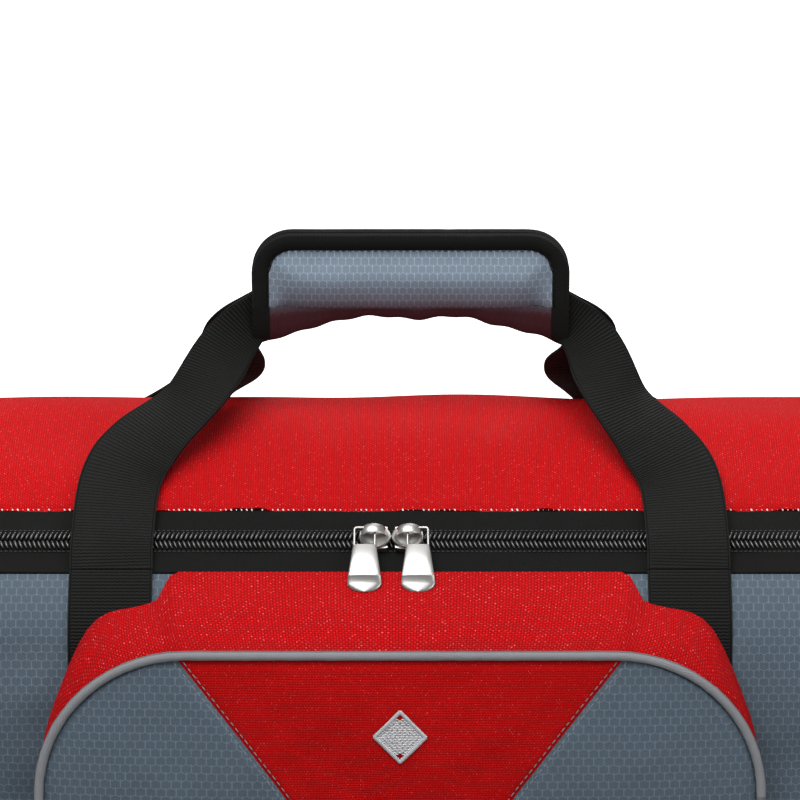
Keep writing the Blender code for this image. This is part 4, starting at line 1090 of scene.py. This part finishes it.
def heading(s, across, along):
    step = bagPoint(0, s + 0.001) - bagPoint(0, s - 0.001)
    return np.array([across, 0, 0]) + step / np.linalg.norm(step) * along


def leaning(point):
    # the handles lean a little to one side, more the higher they stand
    share = min(1.0, max(0.0, (point[2] - crest) / handle["leanHeight"]))
    return point + np.array([handle["lean"] * share, 0, 0])


def legKeys(front):
    # (centre, width direction, width) from the foot of the left leg to the grip's middle
    side = 1 if front else -1
    lift = 0.0023 + handle["thick"]
    footX = -handle["spacing"] / 2
    gripY = handle["gripOffset"] - side * (handle["thick"] / 2 + gap / 2)
    across, down = np.array([1.0, 0, 0]), np.array([0, 0, -1.0])
    rise = gripSheet + 0.001 + handle["bundle"] / 2
    inside = [np.array([x, gripY, gripBottom(x) + rise])
              for x in (-gripHalf + 3 * handle["overhang"], -gripHalf / 2, 0)]
    end = np.array([-gripHalf + 0.0005, gripY - side * 0.0010, gripBottom(gripHalf) + rise - 0.001])
    entry = end + np.array([-0.0110, -side * 0.0060, -0.0105])
    if front:
        free = [(bagPoint(footX + 0.0025, 0.0698, lift), across, 1.0),
                (np.array([footX + 0.0125, -0.054, crest - 0.002]), np.array([1, -0.15, 0.05]), 1.0),
                (np.array([footX + 0.0330, -0.036, crest + 0.016]), np.array([0.74, -0.62, -0.16]), 0.88)]
    else:
        free = [(bagPoint(footX + 0.010, -0.0898, lift), heading(-0.0898, 0.90, -0.44), 1.0),
                (bagPoint(footX + 0.032, -0.0538, lift + 0.001), heading(-0.0538, 0.86, -0.51), 1.0),
                (np.array([footX + 0.046, 0.030, crest + 0.012]), np.array([0.75, 0.55, -0.35]), 0.95)]
    width = handle["width"]
    keys = [(bagPoint(footX, side * (seamS - gap), lift * 0.6), across, width),
            (bagPoint(footX, side * coilS, lift + 0.0005), across, width)]
    keys += [(c, w, width * share) for c, w, share in free]
    keys += [(entry, np.array([0.66, -side * 0.30, -0.68]), handle["bundle"] * 1.2),
             (end, np.array([0.30, 0, -0.95]), handle["bundle"])]
    keys += [(point, down, handle["bundle"]) for point in inside]
    return keys


def eased(values, t):
    low = int(min(t, len(values) - 2))
    f = t - low
    near = [max(0, min(len(values) - 1, low + step)) for step in (-1, 0, 1, 2)]
    p0, p1, p2, p3 = (np.asarray(values[i], float) for i in near)
    square, cube = 2 * p0 - 5 * p1 + 4 * p2 - p3, 3 * p1 - p0 - 3 * p2 + p3
    return 0.5 * (2 * p1 + (p2 - p0) * f + square * f * f + cube * f ** 3)


def strapPiece(name, centres, acrosses, normals, widths, thick):
    # a woven strap with rounded selvedges; uv runs across and along it in metres
    count = len(centres)
    profile = [(-1, -0.35), (-1, 0.35), (-0.97, 0.5)] + [(t, 0.5) for t in np.linspace(-0.85, 0.85, 9)]
    profile += [(0.97, 0.5), (1, 0.35), (1, -0.35), (0.97, -0.5)]
    profile += [(t, -0.5) for t in np.linspace(0.85, -0.85, 9)] + [(-0.97, -0.5)]
    ring = len(profile)
    lengths = runLength(centres)
    points, uv, faces = [], [], []
    for i in range(count):
        for u, h in profile:
            points.append(centres[i] + acrosses[i] * u * widths[i] / 2 + normals[i] * (h * thick))
            uv.append((u * handle["width"] / 2, lengths[i]))
    for i in range(count - 1):
        for k in range(ring):
            n = (k + 1) % ring
            faces.append((i * ring + k, i * ring + n, (i + 1) * ring + n, (i + 1) * ring + k))
    faces.append(tuple(range(ring)))
    faces.append(tuple(range((count - 1) * ring, count * ring))[::-1])
    return meshPiece(name, np.array(points), faces, uv, sharp=60)


def strapPath(keys, perKey=14):
    centres, acrosses, normals, widths = [], [], [], []
    last = len(keys) - 1
    for t in np.linspace(0, last, last * perKey + 1):
        centre = eased([k[0] for k in keys], t)
        ahead = eased([k[0] for k in keys], min(t + 0.02, last)) - eased([k[0] for k in keys],
                                                                         max(t - 0.02, 0))
        ahead /= np.linalg.norm(ahead)
        across = eased([k[1] for k in keys], t)
        across = across - across.dot(ahead) * ahead
        across /= np.linalg.norm(across)
        centres.append(centre)
        acrosses.append(across)
        normals.append(np.cross(across, ahead))
        widths.append(float(eased([[k[2]] for k in keys], t)[0]))
    return centres, acrosses, normals, widths


def buildHandles():
    for name, front, body, node in (("frontStrap", True, "front_handle", "front_webbing"),
                                    ("backStrap", False, "back_handle", "back_webbing")):
        left = legKeys(front)
        mirror = np.array([-1, 1, 1])
        keys = left + [(c * mirror, w * mirror, width) for c, w, width in left[:-1][::-1]]
        path = strapPath([(leaning(c), w, width) for c, w, width in keys])
        dress(strapPiece(name, *path, handle["thick"]), body, webCloth, [node])
    for side, sign in sides.items():
        for face, direction in (("front", 1), ("back", -1)):
            ss = direction * np.concatenate([span(seamS + gap, shoulderS, 0.003),
                                             span(shoulderS, wallS, 0.006)[1:]])
            x = np.full_like(ss, sign * handle["spacing"] / 2)
            rise = 0.0008 * (1 - smooth((ss - seamS) / 0.012))
            centres = bagPoint(x, ss, handle["thick"] / 2 + 0.0008 + rise)
            _, _, ny, nz = sectionOf(ss)
            normals = np.stack([np.zeros_like(ny), ny, nz], -1)
            acrosses = facing((1, 0, 0), len(ss))
            piece = strapPiece("strapRun" + face.title() + side.title(), centres, acrosses, normals,
                               np.full(len(ss), handle["width"]), handle["thick"])
            dress(piece, "bag", webCloth, ["strap_run_" + face + "_" + side])


# ---- grip wrap
grip = {"corner": 0.019, "binding": 0.0095, "puff": 0.0044, "rolled": 0.0074, "rollHeight": 0.016, "rows": 25}
gripShift = np.array([handle["lean"], 0, 0])


def gripOutline(inset, foot, step=0.0025):
    # right half of the wrap's edge in (x, z), from the middle over the corner to its foot
    radius = grip["corner"] - inset
    centreX = gripHalf - grip["corner"]
    top = gripHigh - inset
    points = [(x, top) for x in span(0, centreX, step)[:-1]]
    points += [(centreX + radius * math.sin(a), top - radius * (1 - math.cos(a)))
               for a in np.linspace(0, math.pi / 2, 13)]
    return np.array(points + [(gripHalf - inset, z) for z in span(points[-1][1], foot, step)[1:]])


def padLift(x, z, edge):
    # fullness of the wadding, pulled in at the binding and creased beside it
    lift = grip["puff"] * smooth(edge / 0.014) + 0.0004 * smooth(edge / 0.008) * waves(x, z, 61, 0.030)
    return lift + 0.00035 * np.exp(-edge / 0.005) * waves(x * 1.0, z * 0.3, 63, 0.0085, 5)


def padSheet(name, yFace, direction, foot, body, stands):
    inset = grip["binding"] - 0.0015
    half = gripHalf - inset
    right = span(0, half, 0.0024)
    xs = np.concatenate([-right[:0:-1], right])
    radius = grip["corner"] - inset
    run = np.clip(np.abs(xs) - (half - radius), 0, radius)
    tops = gripHigh - inset - (radius - np.sqrt(np.maximum(radius ** 2 - run ** 2, 0)))
    lows = foot(xs)
    t = np.linspace(0, 1, grip["rows"])
    z = lows[:, None] + (tops - lows)[:, None] * t[None]
    x = np.repeat(xs[:, None], grip["rows"], 1)
    edge = np.maximum(np.minimum(half - np.abs(x), tops[:, None] - z), 0)
    under = grip["rolled"] * (1 - np.clip((z - lows[:, None]) / grip["rollHeight"], 0, 1)) ** 2
    outer = np.stack([x, yFace + direction * (padLift(x, z, edge) - under * smooth(edge / 0.010)), z], -1)
    inner = np.stack([x, np.full_like(x, yFace - direction * 0.0034), z], -1)
    piece = sheetPiece(name, outer + gripShift, inner + gripShift, np.stack([x, z], -1))
    dress(piece, body, [gripCloth, liningCloth], stands)
    return piece


def foldRows(xs, yFront, yBack, lip, proud):
    # the wrap's underside from the front lip round to the back sheet, one row for each x
    middle, half = (yFront + yBack) / 2, (yBack - yFront) / 2
    turns = np.linspace(0, math.pi / 2, 9)
    rows = []
    for x, swell in zip(xs, proud):
        low = gripBottom(x)
        front = [(middle - (half + swell) * math.cos(a) ** 0.8,
                  low + (lip + 0.0016 - low) * (1 - math.sin(a) ** 1.6)) for a in turns]
        back = [(middle + (half + 0.0012) * math.sin(a), low + 0.0115 * (1 - math.cos(a))) for a in turns[1:]]
        rows.append([(x, y, z) for y, z in front + back])
    return np.array(rows)


def buildFold(yFront, yBack, lip):
    half = gripHalf - grip["binding"] + 0.0012
    for name, xs, cloth, proud, stands in (
            ("gripFold", np.linspace(-half, half, 61), gripCloth, True, ["grip_wrap"]),
            ("gripFoldLeft", np.linspace(-gripHalf, -half, 7), bindingCloth, False, []),
            ("gripFoldRight", np.linspace(half, gripHalf, 7), bindingCloth, False, [])):
        edge = np.maximum(half - np.abs(xs), 0)
        swell = -0.0034 * smooth(edge / 0.010) + 0.0006 if proud else np.full_like(xs, 0.0009)
        outer = foldRows(xs, yFront, yBack, lip, swell)
        t = np.linspace(0, 1, outer.shape[1])[None]
        bow = np.sin(math.pi * t)
        outer[..., 2] += bow * (0.0011 * waves(xs * 1.0, xs * 0, 71, 0.034, 4)[:, None]
                                + 0.0007 * waves(xs * 1.0, xs * 0, 72, 0.012, 5)[:, None])
        centre = outer.mean(axis=1, keepdims=True)
        inner = outer + (centre - outer) * np.array([0, 0.34, 0.25])
        drop = runLength(outer[len(xs) // 2])
        uv = np.stack([outer[..., 0], lip - np.tile(drop, (len(xs), 1))], -1)
        piece = sheetPiece(name, outer + gripShift, inner + gripShift, uv)
        dress(piece, "back_handle", [cloth, liningCloth], stands)


def buildBinding(name, y0, y1, foot, body, node):
    outerEdge, innerEdge = gripOutline(-0.0003, foot), gripOutline(grip["binding"], foot)
    count = min(len(outerEdge), len(innerEdge))
    outerEdge, innerEdge = outerEdge[:count], innerEdge[:count]
    outerEdge[-1, 1] = innerEdge[-1, 1] = foot
    mirror = np.array([-1, 1])
    outerEdge = np.concatenate([outerEdge[:0:-1] * mirror, outerEdge])
    innerEdge = np.concatenate([innerEdge[:0:-1] * mirror, innerEdge])
    along = runLength(outerEdge)
    ease = 0.00025 * waves(along, along * 0, 81, 0.024, 4) + 0.00012 * waves(along, along * 0, 82, 0.007, 4)
    # section from the front inner edge over the rolled rim to the back inner edge: (share inwards, depth)
    roll = [(1.0, -0.2), (0.85, 0.35), (0.6, 0.75), (0.3, 0.95), (0.1, 0.7), (0.0, 0.0)]
    depth = (y1 - y0) / 2
    middle = (y0 + y1) / 2
    profile = [(share, -tall) for share, tall in roll] + [(share, tall) for share, tall in roll[-2::-1]]
    share = np.array([p[0] for p in profile])
    tall = np.array([p[1] for p in profile])
    flat = outerEdge[:, None] + (innerEdge - outerEdge)[:, None] * np.clip(share[None, :, None]
                                                                           + ease[:, None, None] * 30, 0, 1)
    y = middle + tall[None] * (depth + 0.0004 + ease[:, None])
    outer = np.stack([flat[..., 0], y, flat[..., 1]], -1)
    inset = outerEdge[:, None] + (innerEdge - outerEdge)[:, None] * np.clip(0.12 + 0.88
                                                                            * share[None, :, None], 0, 1)
    inner = np.stack([inset[..., 0], middle + (y - middle) * 0.6, inset[..., 1]], -1)
    uv = np.stack([np.tile((1 - share) * np.sign(tall) * 0.0095, (len(along), 1)),
                   np.repeat(along[:, None], len(share), 1)], -1)
    dress(sheetPiece(name, outer + gripShift, inner + gripShift, uv), body, bindingCloth, [node])
    line = gripOutline(grip["binding"] - 0.0016, foot + 0.002)
    line = np.concatenate([line[:0:-1] * mirror, line])
    front = name.endswith("Front")
    face = y0 - 0.0001 if front else y1 + 0.0001
    path = np.stack([line[:, 0], np.full(len(line), face), line[:, 1]], -1) + gripShift
    outward = facing((0, -1 if front else 1, 0), len(path))
    barPiece(name + "Stitch", [(path, outward)], threadBlack, body, 0.0030, 0.0023)


def buildGrip():
    yFront = boxOf("grip_flap")[0].y
    yBack = boxOf("grip_binding_back")[1].y
    flapFoot = boxOf("grip_flap")[0].z
    padSheet("gripFront", yFront, -1, lambda x: np.full_like(x, flapFoot), "grip_flap_body", ["grip_flap"])
    padSheet("gripBack", yBack, 1, lambda x: gripBottom(x) + 0.010, "back_handle", [])
    buildFold(yFront, yBack, flapFoot - gap)
    buildBinding("gripBindingFront", yFront - 0.0006, yFront + 0.0048, flapFoot, "grip_flap_body",
                 "grip_binding_front")
    buildBinding("gripBindingBack", yBack - 0.0048, yBack + 0.0006, float(gripBottom(gripHalf)) + 0.010,
                 "back_handle", "grip_binding_back")
    for node in ("hook_strip", "loop_strip"):
        refinish(node, hookNylon)


# ---- sliders and pulls, in a local frame: x along the zip, v up the slope, w outward
sliderLook = {"offset": 0.0082, "meet": -0.004, "crownLift": 0.0062, "pullShift": 0.0040, "halfLong": 0.0074,
              "halfWide": 0.0064, "point": 0.10, "crownReach": 0.0061, "crownRise": 0.0048,
              "crownThick": 0.0010, "crownHalf": 0.0023, "crownMiddle": 0.0025}
pullLook = {"frameHalf": 0.0047, "frameTop": 0.0036, "tabTop": -0.0060, "shank": 0.0198, "tabHalf": 0.0053,
            "tipHalf": 0.00775, "tip": 0.0045, "thick": 0.0015, "bevelStart": 0.0030, "bevelDrop": 0.0024,
            "lip": 0.0006}


def zipFrame(x):
    y, z, ny, nz = (float(v) for v in sectionOf(coilS))
    normal = Vector((0, ny, nz))
    along = Vector((1, 0, 0))
    upSlope = along.cross(normal) * -1
    matrix = Matrix((along, upSlope, normal)).transposed().to_4x4()
    matrix.translation = Vector((x, y, z))
    return matrix


def faceFrame(x, z):
    matrix = Matrix((Vector((1, 0, 0)), Vector((0, 0, 1)), Vector((0, -1, 0)))).transposed().to_4x4()
    matrix.translation = Vector((x, -(pocketFront - 0.0008), z))
    return matrix


def bmPiece(name, bm, matrix, sharp=45):
    bmesh.ops.recalc_face_normals(bm, faces=bm.faces[:])
    bm.transform(matrix)
    mesh = bpy.data.meshes.new(name)
    bm.to_mesh(mesh)
    bm.free()
    return smoothPiece(name, mesh, sharp)


def ringSkin(bm, rings):
    # faces between rings of points, closed at both ends
    loops = [[bm.verts.new(p) for p in ring] for ring in rings]
    count = len(loops[0])
    for here, there in zip(loops, loops[1:]):
        for k in range(count):
            bm.faces.new((here[k], here[(k + 1) % count], there[(k + 1) % count], there[k]))
    bm.faces.new(loops[0])
    bm.faces.new(loops[-1][::-1])


def ovalRings(profile, halfLong, halfWide, point):
    # rings of an eye-shaped plate, from its middle out over the rim; point stretches one end
    rings = []
    for share, w in profile:
        turns = np.linspace(0, 2 * math.pi, 49)[:-1]
        rings.append([(halfLong * share * math.cos(a) * (1 + point * math.cos(a)),
                       halfWide * share * math.sin(a), w)
                      for a in turns])
    return rings


def buildSlider(name, matrix, sign, body, node):
    bm = bmesh.new()
    look = sliderLook
    profile = [(0.03, 0.0033), (0.40, 0.0033), (0.66, 0.0036), (0.80, 0.0043), (0.88, 0.0049), (0.95, 0.0051),
               (1.0, 0.0047), (1.0, 0.0038), (0.88, 0.0029), (0.03, 0.0029)]
    ringSkin(bm, ovalRings(profile, look["halfLong"], look["halfWide"], -sign * look["point"]))
    # side flanges down to the tape
    for edge in (-1, 1):
        wall = []
        for x in np.linspace(-0.0064, 0.0064, 9):
            v = edge * (0.0047 + 0.0007 * math.cos(x / 0.0064 * math.pi / 2))
            wall.append([(x, v, 0.0006), (x, v + edge * 0.0009, 0.0006), (x, v + edge * 0.0009, 0.0036),
                         (x, v, 0.0036)])
        ringSkin(bm, wall)
    # the broad hooped crown
    hoop = []
    section = [(-1, 0.25), (-1, 0.8), (-0.86, 1), (0, 1.06), (0.86, 1), (1, 0.8), (1, 0.25), (0.86, 0),
               (-0.86, 0)]
    for a in np.linspace(0, math.pi, 29):
        c, s = math.cos(a), math.sin(a)
        ring = []
        for across, share in section:
            reach = look["crownReach"] - look["crownThick"] * (1 - share)
            rise = look["crownRise"] - look["crownThick"] * (1 - share)
            ring.append((-reach * c, look["crownMiddle"] + across * look["crownHalf"] * (0.72 + 0.28 * s),
                         0.0034 + rise * s))
        hoop.append(ring)
    ringSkin(bm, hoop)
    return dress(bmPiece(name, bm, matrix), body, nickel, [node])


def buildPull(name, matrix, sign, body, node):
    bm = bmesh.new()
    look = pullLook
    # open wire frame that hooks round the crown
    reach, high, low = look["frameHalf"], look["frameTop"], look["tabTop"] - 0.0006
    path = [(-reach, v) for v in np.linspace(low, high - 0.0012, 6)]
    path += [(-reach + 0.0012 * (1 - math.cos(a)), high - 0.0012 + 0.0012 * math.sin(a))
             for a in np.linspace(0.3, math.pi / 2, 5)]
    path += [(-x, v) for x, v in path[::-1]]
    rings = []
    for i, (x, v) in enumerate(path):
        here, there = path[max(0, i - 1)], path[min(len(path) - 1, i + 1)]
        along = Vector((there[0] - here[0], there[1] - here[1], 0)).normalized()
        side = Vector((-along.y, along.x, 0))
        rings.append([Vector((x, v, 0)) + side * (0.00060 * math.cos(a))
                      + Vector((0, 0, 0.00062 * math.sin(a)))
                      for a in np.linspace(0, 2 * math.pi, 11)[:-1]])
    ringSkin(bm, rings)
    # flared tab with a pillowed face and a bevelled tip; the bevel takes a darker nickel as painted shade
    end = look["tabTop"] - look["shank"]
    crest = end + look["bevelStart"]
    rows = list(np.linspace(look["tabTop"], crest, 13)) + list(np.linspace(crest - 0.0004, end, 4))
    rows += [end - look["tip"] * math.sin(a) for a in np.linspace(0, math.pi / 2, 10)[1:]]
    columns = [-1, -0.96, -0.88, -0.6, -0.3, 0, 0.3, 0.6, 0.88, 0.96, 1]
    tops, lows = [], []
    for v in rows:
        t = min(1.0, (look["tabTop"] - v) / look["shank"])
        half = look["tabHalf"] + (look["tipHalf"] - look["tabHalf"]) * t ** 1.1
        if v < end:
            half *= math.sqrt(max(0.004, 1 - ((end - v) / look["tip"]) ** 2))
        top, under = [], []
        for c in columns:
            x = c * half
            drop = look["bevelDrop"] * max(0.0, (crest - v) / (look["tip"] + look["bevelStart"]))
            ridge = 0.00016 * math.exp(-((v - crest) / 0.0005) ** 2)
            pillow = 0.00035 * (1 - c * c) - 0.0004 * abs(c) ** 12
            bow = 0.0011 * math.sin(math.pi * min(1.0, t))
            rise = look["thick"] / 2 + pillow - drop + ridge + bow
            top.append(bm.verts.new((x, v, rise)))
            under.append(bm.verts.new((x, v, min(-look["thick"] / 2 + bow * 0.8, rise - look["lip"]))))
        tops.append(top)
        lows.append(under)
    last = len(columns) - 1
    for r in range(len(rows) - 1):
        for c in range(last):
            face = bm.faces.new((tops[r][c], tops[r][c + 1], tops[r + 1][c + 1], tops[r + 1][c]))
            # bevel faces take the darker nickel: painted shade
            face.material_index = int(rows[r] < crest - 0.0001)
            bm.faces.new((lows[r][c], lows[r + 1][c], lows[r + 1][c + 1], lows[r][c + 1]))
        for c in (0, last):
            bm.faces.new((tops[r][c], tops[r + 1][c], lows[r + 1][c], lows[r][c]))
    for r in (0, len(rows) - 1):
        for c in range(last):
            bm.faces.new((tops[r][c], lows[r][c], lows[r][c + 1], tops[r][c + 1]))
    shift = Matrix.Translation((sign * sliderLook["pullShift"], 0, sliderLook["crownLift"]))
    return dress(bmPiece(name, bm, matrix @ shift, 50), body, [nickel, nickelShadedTip], [node])


def buildSliders():
    for side, sign in sides.items():
        matrix = zipFrame(sliderLook["meet"] + sign * sliderLook["offset"])
        buildSlider("slider" + side.title(), matrix, sign, "slider_" + side + "_body", "slider_" + side)
        buildPull("pull" + side.title(), matrix, sign, "pull_" + side + "_body", "pull_" + side)
    low, high = boxOf("pocket_slider")
    matrix = faceFrame((low.x + high.x) / 2, pocketZipMid)
    buildSlider("pocketSlider", matrix, -1, "pocket_slider_body", "pocket_slider")
    buildPull("pocketPull", matrix, -1, "pocket_pull_body", "pocket_pull")


# ---- end rings and their tabs
def buildRings():
    for side, sign in sides.items():
        low, high = boxOf("ring_" + side)
        wire = (high.x - low.x) / 2
        x = (low.x + high.x) / 2
        top = high.z - wire
        half = (high.y - low.y) / 2 - wire
        drop = top - low.z - wire
        path = [(x, y, top) for y in np.linspace(-half + 0.003, half - 0.003, 12)]
        path += [(x, half * math.cos(a), top - 0.003 - (drop - 0.003) * math.sin(a))
                 for a in np.linspace(0, math.pi, 33)]
        dress(tubePiece("ring" + side.title(), path, wire, np.array([1.0, 0, 0])),
              "ring_" + side + "_body", nickel, ["ring_" + side])
        refinish("ring_tab_" + side, tabCloth)
        y = np.linspace(-0.009, 0.009, 5)
        face = sign * (halfLength + 0.0022)
        lines = []
        for z in (top - 0.010, top - 0.026):
            lines.append((np.stack([np.full(5, face), y, np.full(5, z)], -1), facing((sign, 0, 0), 5)))
        for edge in (-0.009, 0.009):
            z = np.linspace(top - 0.010, top - 0.026, 5)
            lines.append((np.stack([np.full(5, face), np.full(5, edge), z], -1), facing((sign, 0, 0), 5)))
        barPiece("tabStitch" + side.title(), lines, threadBlack, "bag", 0.0026, 0.0020)


def objectRibs(name):
    # webbing for a CAD node, whose ribs follow the object's own height
    made, tree, shader, _, place = startMaterial(name, 0.62, 0.02)
    use = useNode(tree, useGroup, Place=place, Strength=0.2)
    parts = tree.nodes.new("ShaderNodeSeparateXYZ")
    tree.links.new(place, parts.inputs[0])
    flat = tree.nodes.new("ShaderNodeCombineXYZ")
    tree.links.new(parts.outputs["Y"], flat.inputs["X"])
    tree.links.new(parts.outputs["Z"], flat.inputs["Y"])
    ribs = useNode(tree, ribGroup, Cloth=flat.outputs[0], Rib=0.00155, Yarn=0.0013, Half_width=0.0125)
    # rib crests pale and grooves dark: painted shade between the ribs
    colour = mixColour(tree, ribs["Height"], (0.003, 0.003, 0.003), (0.019, 0.019, 0.0175))
    tree.links.new(scaled(tree, colour, use["Tint"]), shader.inputs["Base Color"])
    bumpInto(tree, shader, ribs["Height"], 0.00035, 1.0)
    return made


tabCloth = objectRibs("tabWebbing")
refinish("base_board", boardPlastic)

buildWrap()
print("wrap built")
buildZip()
buildHinge()
buildSeams()
print("zip and seams built")
buildEnds()
buildPocket()
buildEmblem()
print("pocket built")
buildHandles()
buildGrip()
print("handles built")
buildSliders()
buildRings()
print("metal built")


# ---- studio
studio = {"distance": 1.80, "elevation": 15.0, "frameWidth": 0.384, "aim": 0.0042}


def buildStudio():
    scene = bpy.context.scene
    scene.view_settings.view_transform = "Standard"
    camera = bpy.data.objects.new("camera", bpy.data.cameras.new("camera"))
    scene.collection.objects.link(camera)
    scene.camera = camera
    tilt = math.radians(studio["elevation"])
    aim = Vector((0, 0, crest + studio["aim"]))
    camera.location = aim + studio["distance"] * Vector((0, -math.cos(tilt), math.sin(tilt)))
    camera.rotation_euler = (math.pi / 2 - tilt, 0, 0)
    camera.data.sensor_width = 36
    camera.data.lens = 36 * studio["distance"] / studio["frameWidth"]
    camera.data.clip_start = 0.05
    world = bpy.data.worlds.new("studioWorld")
    scene.world = world
    world.use_nodes = True
    world.node_tree.nodes["Background"].inputs["Color"].default_value = (1, 1, 1, 1)
    world.node_tree.nodes["Background"].inputs["Strength"].default_value = 0.40
    floorMesh = bpy.data.meshes.new("floor")
    floorMesh.from_pydata([(-12, -12, 0), (12, -12, 0), (12, 12, 0), (-12, 12, 0)], [], [(0, 1, 2, 3)])
    floor = placed("floor", floorMesh)
    pale = bpy.data.materials.new("paleFloor")
    pale.use_nodes = True
    shader = pale.node_tree.nodes["Principled BSDF"]
    seen = pale.node_tree.nodes.new("ShaderNodeLightPath").outputs["Is Camera Ray"]
    pale.node_tree.links.new(mixColour(pale.node_tree, seen, (0.30,) * 3, (0.90,) * 3),
                             shader.inputs["Base Color"])
    pale.node_tree.links.new(calc(pale.node_tree, "MULTIPLY", seen, 0.8), shader.inputs["Emission Strength"])
    shader.inputs["Emission Color"].default_value = (1, 1, 1, 1)
    shader.inputs["Roughness"].default_value = 0.9
    floorMesh.materials.append(pale)
    lamps = {"key": ((-0.35, -0.90, 2.05), 2.0, 62.0), "fill": ((1.3, -1.6, 0.8), 1.0, 9.0),
             "back": ((0.3, 1.2, 1.7), 1.4, 16.0)}
    for name, (place, size, power) in lamps.items():
        data = bpy.data.lights.new(name, "AREA")
        data.shape = "DISK"
        data.size = size
        data.energy = power
        lamp = bpy.data.objects.new(name, data)
        lamp.location = place
        lamp.rotation_euler = (Vector((0, 0, 0.2)) - Vector(place)).to_track_quat("-Z", "Y").to_euler()
        scene.collection.objects.link(lamp)


buildStudio()
print("studio built")
